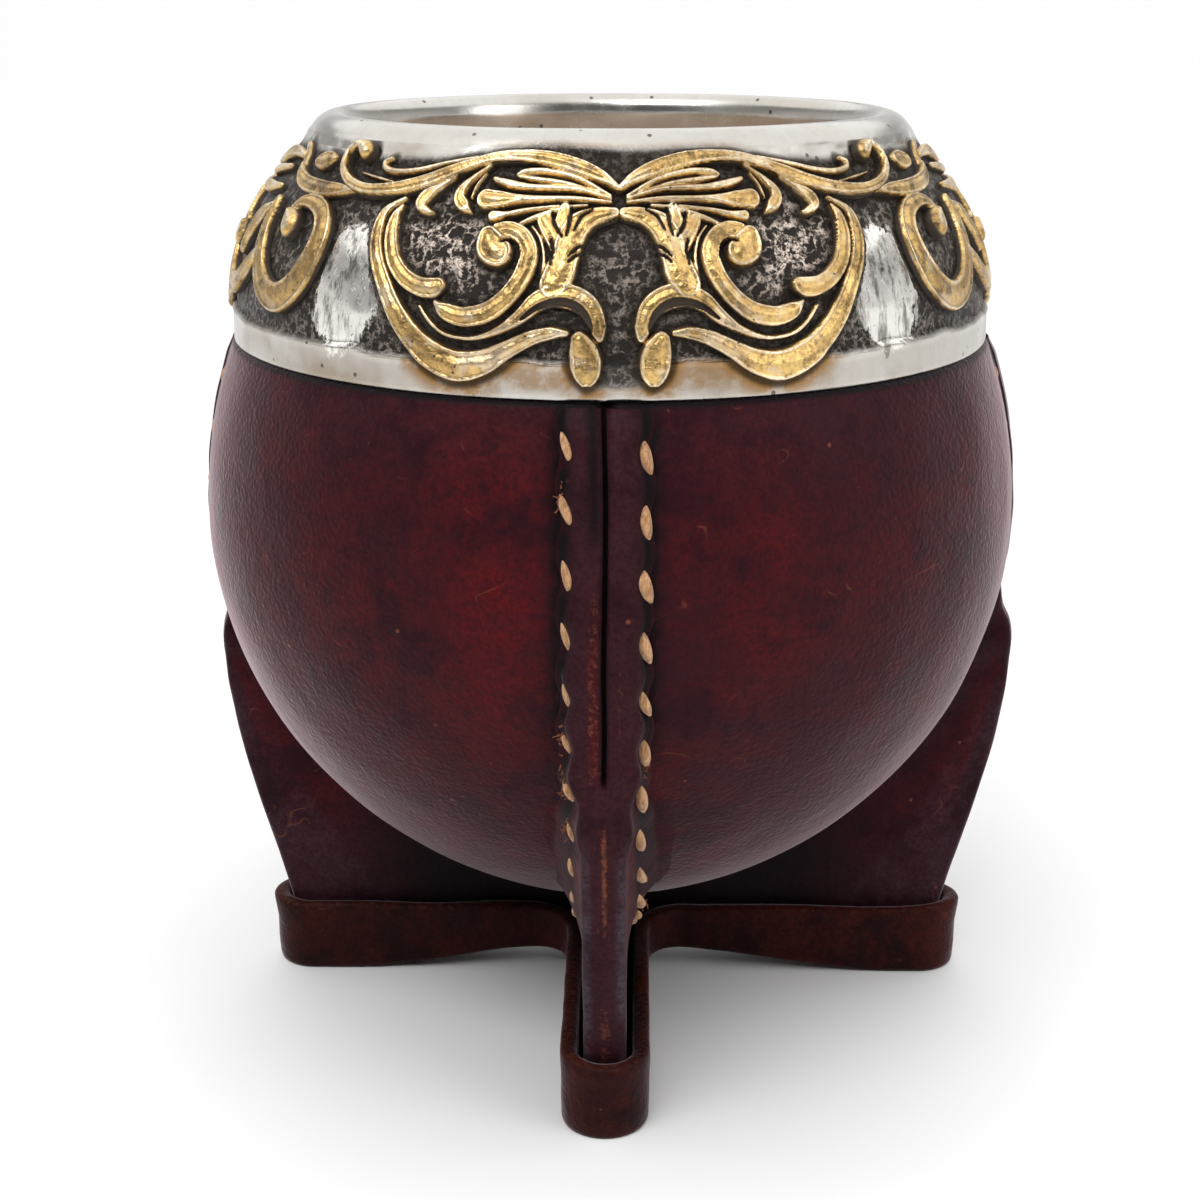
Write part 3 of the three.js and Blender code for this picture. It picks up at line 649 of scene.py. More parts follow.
def belly_radius(height):
    height = np.asarray(height, float)
    above = np.clip((height - BELLY_HEIGHT) / BELLY_RISE, 0, 1)
    below = np.clip((BELLY_HEIGHT - height) / BELLY_DROP, 0, 1)
    upper = np.sqrt(1 - above**2)
    lower = (1 - below**DROP_POWER) ** (1 / DROP_POWER)
    return BELLY_RADIUS * np.where(height >= BELLY_HEIGHT, upper, lower)


ground = spline(GROUND_LINE, 300)
ground_up = line_lengths(ground)
GROUND_LENGTH = ground_up[-1]
ground_tangent = unit(np.gradient(ground, axis=0))


def ground_point(up, proud):
    """Radius and height of a place up the ground line, moved out along its normal."""
    radius, height, outward, upward = [
        np.interp(up, ground_up, column) for column in np.hstack([ground, ground_tangent]).T
    ]
    return radius + proud * upward, height - proud * outward


class Relief:
    """Half a motif of the ornament as a height field over the unrolled band."""

    def __init__(self, strokes):
        self.along = np.arange(0, BAND_REACH, RELIEF_CELL)
        self.up = np.arange(0, GROUND_LENGTH + 1, RELIEF_CELL)
        shape = (len(self.along), len(self.up))
        self.distance = np.full(shape, FAR)
        self.height = np.zeros(shape)
        self.crest = np.zeros(shape)
        for relief, places in strokes.values():
            self.draw(relief, places)

    def draw(self, relief, places):
        """Adds a stroke: a round bead, a ribbon with thin rims and a rounded face, or a groove."""
        length = line_lengths(np.array(places, float))[-1]
        line = spline(places, int(length / STROKE_STEP) + 4)
        low = line[:, :2].min(0) - STROKE_MARGIN
        high = line[:, :2].max(0) + STROKE_MARGIN
        first = np.searchsorted(self.along, [low[0], high[0]])
        second = np.searchsorted(self.up, [low[1], high[1]])
        window = (slice(*first), slice(*second))
        along, up = np.meshgrid(self.along[window[0]], self.up[window[1]], indexing="ij")
        distance = np.full(along.shape, 9.0)
        width = np.ones(along.shape)
        for x, y, half in line:
            found = np.hypot(along - x, up - y) - half
            width = np.where(found < distance, half, width)
            distance = np.minimum(found, distance)
        share = np.clip(-distance / width, 0, 1)
        broad = smoothstep(width, 0.45, 0.9) * (relief < ROUND_RELIEF)
        flank = blend(0.88, 0.24, broad)
        edge = np.sqrt(1 - (1 - np.clip(share / flank, 0, 1)) ** 2)
        dish = RIM_DISH * broad * smoothstep(share, flank, flank + 0.14)
        bulge = FACE_BULGE * broad * smoothstep(share, flank + 0.1, 1)
        height = relief * edge * (1 - dish + bulge) * blend(0.72, 1, smoothstep(width, 0.2, 0.7))
        if relief < 0:
            self.height[window] += relief * edge
            self.crest[window] *= 1 - edge
            return
        higher = height > self.height[window]
        self.height[window] = np.where(higher, height, self.height[window])
        self.crest[window] = np.where(higher, edge * (1 - dish), self.crest[window])
        self.distance[window] = np.minimum(distance, self.distance[window])

    def nearness(self, along):
        """Distance to the ornament over a grid of places along and up the band."""
        columns = np.clip(np.round(along / RELIEF_CELL).astype(int), 0, len(self.along) - 1)
        return np.where((along < self.along[-1])[:, None], self.distance[columns], FAR)

    def surface(self, centre, side):
        """Mesh of the half on one side of a motif's middle."""
        inside = self.distance < -0.3 * RELIEF_CELL
        slope = np.stack(np.gradient(self.distance, RELIEF_CELL), -1)
        steep = np.maximum((slope**2).sum(-1), 0.4)
        shift = np.where(inside, 0, self.distance)[..., None] * slope / steep[..., None]
        shift = np.clip(shift, -1.5 * RELIEF_CELL, 1.5 * RELIEF_CELL)
        along, up = np.meshgrid(self.along, self.up, indexing="ij")
        along = np.maximum(along - shift[..., 0], 0)
        up = up - shift[..., 1]
        seat = 0.5 * BORDER_PROUD * (1 - smoothstep(up, BORDER_END - 0.6, BORDER_END + 0.6))
        proud = np.where(inside, self.height + seat, -0.2)
        radius, height = ground_point(up, proud)
        points = at_angle(centre + side * along / ORNAMENT_RADIUS, radius, height).reshape(-1, 3)
        corners = inside[:-1, :-1] | inside[1:, :-1] | inside[1:, 1:] | inside[:-1, 1:]
        faces = grid_faces(*inside.shape)[corners.reshape(-1)]
        if side > 0:
            faces = faces[:, ::-1]
        used, faces = np.unique(faces, return_inverse=True)
        crest = np.where(inside, self.crest, 0).reshape(-1)[used]
        return points[used], faces.reshape(-1, 4), {"crest": crest}


scroll = Relief(SCROLL_STROKES)
spray = Relief(SPRAY_STROKES)
MOTIFS = [
    ("scroll_front", scroll, 0),
    ("spray_right", spray, QUARTER_TURN),
    ("scroll_back", scroll, 2 * QUARTER_TURN),
    ("spray_left", spray, -QUARTER_TURN),
]


def make_ornament():
    material = brass_look()
    for name, relief, centre in MOTIFS:
        for side, half in ((-1, "left_half"), (1, "right_half")):
            points, faces, attributes = relief.surface(centre + ORNAMENT_TURN, side)
            node = f"{name}_{half}"
            make_piece(f"{node}_brass", points, faces, [material], [node], attributes)


def make_ferrule():
    """Border, ornament ground, lip and lining as one sheet of metal."""
    columns = 720
    angles = circle(columns)
    ring = at_angle(angles, ORNAMENT_RADIUS, 0.0)

    ups = np.concatenate([np.linspace(0.35, 5, 18, endpoint=False), np.linspace(5, GROUND_LENGTH, 56)])
    level = ups[:, None]
    # The border's upper edge wanders a little and carries a thin bright bead.
    edge = BORDER_END + 0.3 * ripple(ring, 7, 11) + 0.12 * ripple(ring, 2, 12)
    across = level - edge
    step = BORDER_PROUD * smoothstep(across, 0.35, -0.25) + 0.12 * bell(across + 0.3, 0.22)
    spots = at_angle(angles, ORNAMENT_RADIUS, level)
    uneven = 0.05 * ripple(spots, 3, 13) + 0.03 * ripple(spots, 1.2, 14)
    sheet = at_angle(angles, *ground_point(level, step + uneven * smoothstep(across, -0.5, 1)))

    def rings(pairs, seed):
        """Rows round the axis, swaying a little."""
        pairs = np.array(pairs, float)
        sway = 0.06 * ripple(lathe(angles, pairs), 9, seed)
        return at_angle(angles, pairs[:, :1] + sway, pairs[:, 1:] + 0.5 * sway)

    # The border's lower edge is turned in under itself.
    foot_radius = GROUND_LINE[0][0] + BORDER_PROUD
    hem = [(2, 83), (1.6, 81.8), (0.9, 81.45), (0.3, 81.42), (0.06, 81.6)]
    foot = rings([(foot_radius - inward, height) for inward, height in hem], 21)
    rolled = spline(LIP_LINE, 26)
    lip = rings(rolled[1:], 22)
    heights = np.linspace(LIP_LINE[-1][1] - 0.5, LINING_FOOT, 10)
    lining = rings([(MOUTH_RADIUS, height) for height in heights]
                   + [(MOUTH_RADIUS + METAL, LINING_FOOT - 0.1)], 23)
    bands = [foot, sheet, lip, lining]

    # Distance to the ornament, in the ornament's own turned frame.
    near = np.full((columns, len(scroll.up)), FAR)
    patch = np.zeros((columns, len(ups)))
    chased = np.zeros((columns, len(ups)))
    between = np.zeros(columns)
    stained = np.zeros(columns)
    worn_down = np.ones(columns)
    for _, relief, centre in MOTIFS:
        around = (angles - centre - ORNAMENT_TURN + math.pi) % FULL_TURN - math.pi
        beside = np.abs(around) * ORNAMENT_RADIUS
        near = np.minimum(near, relief.nearness(beside))
        if relief is scroll:
            # Polished patches lie between the scrolls and the sprays.
            patch = np.maximum(patch, np.clip(1 - 0.45 * oval(beside, ups, *PATCH), 0, 1))
            # The ground inside each scroll is chased into lumpy folds, whose painted highlights are brighter
            # there.
            chased = np.maximum(chased, np.exp(-oval(beside, ups, *CHASED)))
            # Patina runs down over the border between the two drops.
            between = np.maximum(between, bell(beside, 2.3, 4))
            stained = np.maximum(stained, bell(beside, 21, 4))
            # The collar is rubbed bright except over the middle of each scroll.
            worn_down = np.minimum(worn_down, smoothstep(beside, 13, 22))
    near = np.stack([np.interp(ups, scroll.up, line) for line in near], 1)

    border = smoothstep(across, 0.15, -0.3) * (1 - 0.95 * between * smoothstep(level, 0.8, 1.8))
    patchy = 0.25 * ripple(ring, 5, 15) + 1.7 * worn_down
    collar = smoothstep(level + patchy, *LIP_FADE)
    over_lip = GROUND_LENGTH + line_lengths(rolled)[1:, None] + patchy
    lip_tinge = 0.6 * smoothstep(over_lip, LIP_FADE[1] + 0.6, LIP_FADE[0])
    tinge = border * np.maximum(smoothstep(near, 3, 0.4), 0.75 * stained * smoothstep(level, 0.5, 1.3))
    under_lip = 0.85 * smoothstep(level, 21.5, 22.8) * (1 - collar)
    shade = 0.85 * np.maximum(smoothstep(near, 1.4, 0.1), under_lip)

    def whole(*values):
        """A value for each point, from those of the foot, the ground, the lip and the lining."""
        return np.vstack([np.broadcast_to(value, band.shape[:2]) for value, band in zip(values, bands)])

    attributes = {
        "polish": whole(1, np.maximum(border, collar), smoothstep(over_lip, *LIP_FADE), 1),
        "patch": whole(0, patch.T * smoothstep(near, 0.2, 1.2), 0, 0),
        "chased": whole(0, chased.T, 0, 0),
        "lip": whole(0, 0, 1, 0),
        "dull": whole(0, 0, 0, 0.55),
        "shade": whole(0, shade, 0, 0),
        "tinge": whole(0, tinge, lip_tinge, 0.25),
    }
    points = np.vstack(bands)
    faces = grid_faces(len(points), columns, closed=True)
    make_piece("ferrule_metal", points, faces, [silver_look()], ["ferrule"], attributes)


def make_gourd():
    """Inside of the gourd, from under the lining to the bottom."""
    angles = circle(160)
    shrink = 1 - GOURD_DEPTH / BELLY_RADIUS
    lift = 1 - GOURD_DEPTH / BELLY_DROP
    below = BELLY_DROP * np.cos(np.linspace(0, QUARTER_TURN, 40))
    bowl = np.column_stack([shrink * belly_radius(BELLY_HEIGHT - below), BELLY_HEIGHT - lift * below])
    heights = np.linspace(BELLY_HEIGHT + 1, GOURD_SHOULDER, 14)
    wall = np.column_stack([belly_radius(heights) - GOURD_DEPTH, heights])
    bore = MOUTH_RADIUS + METAL + 0.4
    neck = [wall[-1], (36.6, 82.5), (33.2, 88.5), (bore + 0.6, 93), (bore, 96), (bore, 99)]
    throat = spline(neck, 24)[1:]
    profile = np.vstack([bowl, wall, throat])
    points = lathe(angles, profile)
    uneven = 0.5 * ripple(points, 14, 31) + 0.15 * ripple(points, 3, 32)
    uneven *= smoothstep(profile[:, :1], 0, 6) * smoothstep(profile[:, 1:], 94, 84)
    faces = grid_faces(len(profile), len(angles), closed=True)[:, ::-1]
    make_piece("gourd_inside", lathe(angles, profile, uneven), faces, [calabash_look()],
               ["gourd_shell"])


class Leg:
    """Stations of one pleat from the ferrule down: root on the belly, outer edge, and widths."""

    def __init__(self, ridge_proud, fin_top, flare_reach, fillet_reach):
        ridge_rows, fin_rows, sole_rows = ((90, 82, 18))
        ridge = np.linspace(COVER_TOP, RIDGE_FOOT, ridge_rows, endpoint=False)
        share = np.linspace(0, 1, fin_rows)
        fin = blend(RIDGE_FOOT, FIN_ROOT_FOOT, share**0.8)
        sole = np.linspace(TRAY_REACH - TRAY_HALF, 4, sole_rows)
        self.share = np.concatenate([np.zeros(ridge_rows), share, np.ones(sole_rows)])
        root_height = np.concatenate([ridge, fin, np.full(sole_rows, SOLE_ROOT_HEIGHT)])
        root_radius = np.concatenate([belly_radius(ridge), belly_radius(fin), SOLE_ROOT_SHARE * sole])
        self.root = np.column_stack([root_radius, root_height])
        # The ridge rises into the fin below and sinks under the ferrule above.
        fin_proud = fin_top[0][0] - belly_radius(RIDGE_FOOT)
        proud = blend(fin_proud, ridge_proud, smoothstep(ridge, RIDGE_FOOT, RIDGE_FOOT + 14))
        proud *= 1 - 0.5 * smoothstep(ridge, 79, COVER_TOP)
        ridge_edge = np.column_stack([belly_radius(ridge) + proud, ridge])
        sole_edge = np.column_stack([sole, tray_sole(sole) + 0.3])
        self.edge = np.vstack([ridge_edge, spline(fin_top + FIN_EDGE, fin_rows), sole_edge])
        self.half = blend(RIDGE_HALF, FIN_HALF, smoothstep(self.share, 0.05, 0.45))
        self.uneven = ridge_proud / FRONT_RIDGE
        flaring = smoothstep(self.share, 0.03, 0.5)
        self.flare = blend(0.55, flare_reach, flaring) * (1 - 0.8 * smoothstep(self.share, 0.75, 1))
        self.slit = smoothstep(self.edge[:, 1], SLIT_FOOT - 0.4, SLIT_FOOT + 0.6)
        self.slit[self.share == 1] = 0
        self.tall = np.linalg.norm(self.edge - self.root, axis=1)
        self.way = unit(self.edge - self.root)
        # The belly's leather runs out into the fin; the stitches sit on that flare.
        self.fillet = np.minimum(blend(2, fillet_reach, flaring), 0.8 * self.tall)
        self.stitch_side = self.half + self.flare * (1 - SEAM_SHARE) ** FLARE_POWER
        self.stitch_lift = SEAM_SHARE * self.fillet
        # How far down the root line each station is, for spacing the stitches.
        self.down = line_lengths(self.root)

    def place(self, side, lift):
        """Points at offsets to the side and lifts from the belly, a row for each station."""
        radius, height = self.root[:, :1], self.root[:, 1:]
        reach = np.sqrt(np.maximum(radius**2 - side**2, 0)) + lift * self.way[:, :1]
        return np.stack([side, -reach, height + lift * self.way[:, 1:]], -1)

    def seam(self, down, hand, aside, lift):
        """Points along the stitch line, at distances down it, moved aside and lifted."""
        def at(values):
            return np.interp(down, self.down, values)
        side = at(self.stitch_side) + aside
        lift = lift + at(self.stitch_lift)
        reach = np.sqrt(at(self.root[:, 0]) ** 2 - side**2) + lift * at(self.way[:, 0])
        return np.stack([hand * side, -reach, at(self.root[:, 1]) + lift * at(self.way[:, 1])], -1)

    def surface(self):
        """Mesh of the pleat as it stands at the front, with the attributes of its leather."""
        tall = self.tall[:, None]
        # The thread pinches the pleat's edges.
        pinch = np.cos(FULL_TURN * (self.down - FIRST_STITCH) / STITCH_PITCH)
        pinch *= smoothstep(self.share, 0.5, 0.2)
        half = (self.half - 0.32 * pinch)[:, None]
        flare = self.flare[:, None]
        slit = self.slit[:, None]
        flat = smoothstep(self.share, 0.05, 0.3)[:, None]
        rounding = np.minimum(0.75, 0.55 * tall)
        rising = np.linspace(0, 1, 16)[None, :] ** 1.4
        wall_lift = rising * (tall - rounding)
        wall_side = half + flare * (1 - np.clip(wall_lift / self.fillet[:, None], 0, 1)) ** FLARE_POWER
        turn = np.linspace(0, QUARTER_TURN, 6)[None, 1:]
        edge_lift = tall - rounding * (1 - np.sin(turn))
        edge_side = half - rounding * (1 - np.cos(turn))
        crown = np.linspace(1, 0, 8)[None, 1:-1]
        top_side = blend(SLIT_HALF, half - rounding, crown)
        top_lift = tall + 0.12 * (1 - crown**2) * (1 - slit) + 0.2 * np.sin(math.pi * crown) * slit
        skirt_side = half + flare * np.array([[1.9, 1.4, 1.12]])
        skirt_lift = np.array([[-0.35, -0.06, 0.0]]) + 0 * tall
        gap_side = np.array([[SLIT_HALF, 0.16, 0.0]]) + 0 * tall
        gap_lift = tall - slit * np.array([[0.12, 0.9, 1]]) * SLIT_DEPTH + 0.12 * (1 - slit)
        side = np.hstack([skirt_side, wall_side, edge_side, top_side, gap_side])
        lift = np.hstack([skirt_lift, wall_lift, edge_lift, top_lift, gap_lift])
        side = np.hstack([side, -side[:, -2::-1]])
        lift = np.hstack([lift, lift[:, -2::-1]])

        points = self.place(side, lift)
        sway = 0.2 * ripple(points, 7, 41) + 0.1 * ripple(points, 2.2, 42)
        sway *= blend(1, 0.35, flat) * self.uneven
        inner = smoothstep(lift, 0.2, 0.9)
        swell = 1 + 0.03 * ripple(points, 5, 43) * inner
        wander = 0.22 * ripple(points * (0, 0, 1), 9, 44) * (1 - flat)
        points = self.place(side * swell + wander, lift + sway * inner)
        height = points[..., 2]
        on_top = lift > 0.8 * tall

        def between(low, full, fading, gone):
            return smoothstep(height, low, full) * smoothstep(height, gone, fading)

        beside_slit = bell(side + 1.05, 0.6) * between(41, 47, 58, 68)
        beside_slit += 0.5 * bell(side - 1.6, 0.4) * between(44, 50, 54, 60)
        fold = bell(side, 0.5) * between(18, 30, 37, 42)
        foot = bell(side, 1.2) * smoothstep(height, 24, 14)
        singed = bell(side + 1.1, 0.8) * smoothstep(height, 66, 71)
        # Painted shade in the crease along the stitch line, darkest between the stitches.
        away = np.hypot(np.abs(side) - self.stitch_side[:, None] - 0.25, lift - self.stitch_lift[:, None])
        crease_shade = bell(away, 1) * blend(1, 0.6, smoothstep(pinch, -0.3, 0.6))[:, None]
        crease_shade *= (self.share < 0.95)[:, None]
        # Painted shade inside the slit.
        slit_shade = slit * (np.abs(side) < SLIT_HALF * 0.9)
        # Painted shade under the belly, darker towards the middle.
        under = 0.85 * smoothstep(np.hypot(points[..., 0], points[..., 1]), 36, 22) * (height < 30)
        flank_red = 0.75 * smoothstep(lift, 2, 8) * smoothstep(height, 14, 32)
        flank_purple = np.maximum(smoothstep(lift, 5, 0.8), 0.8 * smoothstep(height, 26, 12))
        # Pale along the rounded edges of the fin's crown: a painted highlight.
        corner = bell(np.abs(side) - half + 0.55, 0.45) * (lift > 0.6 * tall)
        attributes = {
            "wear": (np.minimum(0.9 * beside_slit, 0.36) + 0.5 * fold + 0.4 * foot) * on_top,
            "red": np.where(on_top, 0.7 * beside_slit, flank_red),
            # Black: painted shade in the crease, the slit and under the belly, and a singed patch.
            "black": np.clip(crease_shade + slit_shade + 0.9 * singed * on_top + under, 0, 1),
            "purple": smoothstep(lift, 0.1, 0.5) * np.where(on_top, 0.9 - 0.7 * beside_slit, flank_purple),
            "pale": corner * smoothstep(self.share, 0.25, 0.5)[:, None],
        }
        return points, grid_faces(*side.shape)[:, ::-1], attributes


def arch_lift(radius):
    return ARCH_RISE * (1 - smoothstep(radius, *ARCH_SPAN))


def tray_sole(radius):
    return TRAY_SOLE + arch_lift(radius) * (1 - TRAY_SOLE / TRAY_TOP)


def stitch_places(leg):
    """Distances down the root line of the stitches' middles, along one side of a leg."""
    last = leg.down[np.searchsorted(-leg.root[:, 1], -LAST_STITCH_HEIGHT)]
    return np.arange(FIRST_STITCH, last, STITCH_PITCH)


def make_cover(legs):
    """Belly and four pleats as one leather skin."""
    leg = legs[0]
    per_side = 90
    share = np.arange(per_side) / per_side
    # Columns crowd towards the pleats, where the thread pulls the leather in.
    quadrant = QUARTER_TURN * (share - 0.5 * np.sin(FULL_TURN * share) / FULL_TURN)
    angles = np.concatenate([quadrant + QUARTER_TURN * k for k in range(4)])
    below = BELLY_DROP * np.cos(np.linspace(0.02, QUARTER_TURN, 90))
    lower = np.column_stack([belly_radius(BELLY_HEIGHT - below), BELLY_HEIGHT - below])
    heights = np.linspace(BELLY_HEIGHT + 0.7, COVER_TOP - 0.3, 36)
    upper = np.column_stack([belly_radius(heights), heights])
    tuck = np.array([(43.55, 81.1), (43.1, 81.38), (42.3, 81.5), (41.5, 81.8), (41.4, 83)])
    profile = np.vstack([lower, upper, tuck])
    points = lathe(angles, profile)

    beside = (angles + QUARTER_TURN / 2) % QUARTER_TURN - QUARTER_TURN / 2
    offset = beside * profile[:, :1]
    height = profile[:, 1:] + 0 * offset
    sway = 0.22 * ripple(points, 20, 51) + 0.07 * ripple(points, 6, 52)
    sway *= smoothstep(profile[:, :1], 2, 12) * smoothstep(profile[:, 1:], 81, 78)
    above_sole = leg.share < 1

    def at_heights(values):
        return np.interp(-height, -leg.root[above_sole, 1], values[above_sole])

    line = at_heights(leg.stitch_side)
    sewn = smoothstep(at_heights(leg.stitch_lift), 1.6, 0.4)
    # Stitch holes dent the leather; the dents and the seam line are also painted dark as shade.
    dents = np.zeros(offset.shape)
    for down in stitch_places(leg):
        for end in (-0.5, 0.5):
            mark = np.interp(down + end * STITCH_LENGTH, leg.down, leg.root[:, 1])
            away = np.hypot(np.abs(offset) - line - 0.5, 0.7 * (height - mark))
            dents = np.maximum(dents, bell(away, 1.3))
    dents *= sewn
    seam = bell(np.abs(offset) - line, 1.1) * sewn
    under_slit = bell(offset, 0.8) * smoothstep(height, SLIT_FOOT, SLIT_FOOT + 4)
    pull = 0.3 * dents + 0.22 * seam + 1.2 * under_slit

    left = bell(offset + 11, 6.5) * smoothstep(height, 34, 52)
    right = 0.55 * bell(offset - 16, 5.5) * smoothstep(height, 44, 58)
    # Painted shade where the leather tucks under the ferrule, and towards the bottom.
    tucked = smoothstep(height, 80.6, 81.2)
    under = 0.85 * smoothstep(height, 27, 15)
    attributes = {
        "red": np.clip(0.95 * left + right, 0, 1) * (1 - 0.6 * smoothstep(height, 74, 81)),
        "wear": 0 * offset,
        # Black: painted shade in the stitch holes, along the seam, in the slit, under the ferrule and towards
        # the bottom.
        "black": np.clip(0.95 * dents + 0.55 * seam + under_slit + tucked + under, 0, 1),
        # Purple towards the ferrule: painted shade under its overhang.
        "purple": 0.35 * smoothstep(height, 70, 80),
        "pale": 0 * offset,
    }
    belly_faces = grid_faces(len(profile), len(angles), closed=True)
    parts = [(lathe(angles, profile, sway - pull), belly_faces, attributes)]
    # The side pleats come first: they take the belly's look, as they lie along its outline.
    for quarter in (1, 3, 0, 2):
        leg_points, leg_faces, leg_attributes = legs[quarter % 2].surface()
        parts.append((turned(leg_points, QUARTER_TURN * quarter), leg_faces, leg_attributes))
    points, faces, attributes = joined(parts)
    looks = [leather_look("oxblood_belly", OXBLOOD, sheen=0.62),
             leather_look("oxblood_pleats", OXBLOOD, sheen=0.12)]
    make_piece("leather_skin", hand_sewn(points), faces, looks, ["leather_cover"], attributes,
               second_from=sum(len(part[1]) for part in parts[:3]))


def make_stitches(legs):
    """Plump waxed stitches down both sides of each pleat."""
    source = np.random.default_rng(61)
    share = np.linspace(0, 1, 15)
    spin = circle(14)
    faces = grid_faces(len(share), len(spin), closed=True)
    # The middle of a stitch bulges, its ends dive into their holes.
    taper = np.sin(math.pi * np.clip(share, 0.03, 0.97)) ** 0.6
    parts = []
    for quarter in range(4):
        leg = legs[quarter % 2]
        lift = 0.45 * np.sin(math.pi * share) - (0.4 if quarter % 2 == 0 else SIDE_SUNK)
        for hand in (-1, 1):
            # The left row is tucked under the pleat, the right one stands clear of it.
            tuck = 0.1 if hand > 0 else -0.3
            radius = STITCH_RADIUS * (1 if hand > 0 else 0.85)
            for down in stitch_places(leg) + source.uniform(-0.5, 0.5) + 0.6 * hand:
                length = STITCH_LENGTH * source.uniform(0.85, 1.1)
                lean = hand * source.uniform(0.4, 1.4)
                thick = radius * source.uniform(0.9, 1.12) * taper
                middle = leg.seam(down + length * (share - 0.5), hand, lean * (share - 0.5) + tuck, lift)
                ahead = unit(np.gradient(middle, axis=0))
                across = unit(np.cross(ahead, (0, -1, 0)))
                outward = np.cross(across, ahead)
                # Two plies twist round each other.
                ring = thick[:, None] * (1 + 0.1 * np.cos(2 * spin + hand * 5 * share[:, None]))
                points = (middle[:, None] + across[:, None] * (ring * np.cos(spin))[..., None]
                          + outward[:, None] * (0.75 * ring * np.sin(spin))[..., None])
                parts.append((turned(points, QUARTER_TURN * quarter), faces, {}))
    points, faces, _ = joined(parts)
    look = thread_look("tan_thread", (0.58, 0.32, 0.15), (0.28, 0.125, 0.045), sheen=0.3)
    make_piece("pleat_stitches", hand_sewn(points), faces, [look])


def cross_outline(inset):
    """Outline of the four-armed tray, moved inwards, anticlockwise from the front arm's left side."""
    half = TRAY_HALF - inset
    reach = TRAY_REACH - inset
    corner = TRAY_CORNER + inset
    hub = half + corner
    side = np.linspace(hub, reach - half, SIDE_POINTS)
    end = np.linspace(0, math.pi, END_POINTS + 2)[1:-1]
    bend = np.linspace(0, QUARTER_TURN, 9)[1:-1]
    tip = reach - half + half * np.sin(end)
    along = np.concatenate([side, tip, side[::-1], hub - corner * np.sin(bend)])
    edge = np.full(SIDE_POINTS, half)
    across = np.concatenate([-edge, -half * np.cos(end), edge, hub - corner * np.cos(bend)])
    arm = np.column_stack([across, -along, np.zeros(len(along))])
    return np.vstack([turned(arm, QUARTER_TURN * k) for k in range(4)])


def make_tray():
    """Cross-shaped leather tray: rolled rim, walls, arched sole."""
    # Inset from the outer face, and height as a share of the wall above the arch.
    wall = [(0.5, 0.0), (0.16, 0.015), (0.0, 0.07), (-0.06, 0.3), (-0.02, 0.6), (-0.1, 0.85), (-0.06, 0.95),
            (0.16, 0.99), (0.55, 1.005), (1.05, 1.0), (1.5, 0.985), (1.74, 0.94), (1.8, 0.85), (1.8, 0.5)]
    loops = []
    rims = []
    for inset, share in wall:
        outline = cross_outline(inset)
        out = np.hypot(outline[:, 0], outline[:, 1])
        bottom = arch_lift(out)
        end = smoothstep(out, TRAY_REACH - 7, TRAY_REACH)
        top = TRAY_TOP + 0.25 * end + 0.3 * ripple(outline, 9, 71)
        flare = 1 + 0.008 * end * smoothstep(share, 0.6, 1)
        loops.append(np.column_stack([outline[:, :2] * flare[:, None], blend(bottom, top, share)]))
        rims.append(np.full(len(out), bell(share - 1, 0.12) + 0.35 * (share < 0.02)))
    floor = cross_outline(TRAY_WALL)
    floor[:, 2] = tray_sole(np.hypot(floor[:, 0], floor[:, 1]))
    loops.append(floor)
    rims.append(np.zeros(len(floor)))
    count = len(floor)
    points = np.vstack(loops)
    uneven = np.stack([ripple(points, 3, seed) for seed in (72, 73, 74)], -1)
    points += 0.05 * uneven * (points[:, 2:] > 0.4)
    faces = grid_faces(len(loops), count, closed=True).tolist()

    def fill(first, middle):
        """Ladders along the arms and a fan about the middle."""
        filled = []
        per_arm = count // 4
        flat = 2 * SIDE_POINTS + END_POINTS
        for k in range(4):
            start = k * per_arm
            for i in range(flat // 2):
                filled.append((start + i, start + i + 1, start + flat - 2 - i, start + flat - 1 - i))
            filled.append((start, start + flat - 1, middle - first))
            for i in range(flat - 1, per_arm):
                filled.append((start + i, (start + i + 1) % count, middle - first))
        return [[first + corner for corner in face] for face in filled]

    under = len(points)
    points = np.vstack([points, [(0, 0, arch_lift(0)), (0, 0, tray_sole(0))]])
    faces += [face[::-1] for face in fill(0, under)] + fill(under - count, under + 1)
    rim = np.append(np.concatenate(rims), [0, 0])
    attributes = {name: 0 * rim for name in ("black", "purple", "pale")}
    attributes["wear"] = 0.36 * rim
    attributes["red"] = 0.3 + 0 * rim
    look = leather_look("tray_leather", TRAY_BROWN, sheen=0.3)
    make_piece("tray_skin", hand_sewn(points), faces, [look], ["base_tray"], attributes)


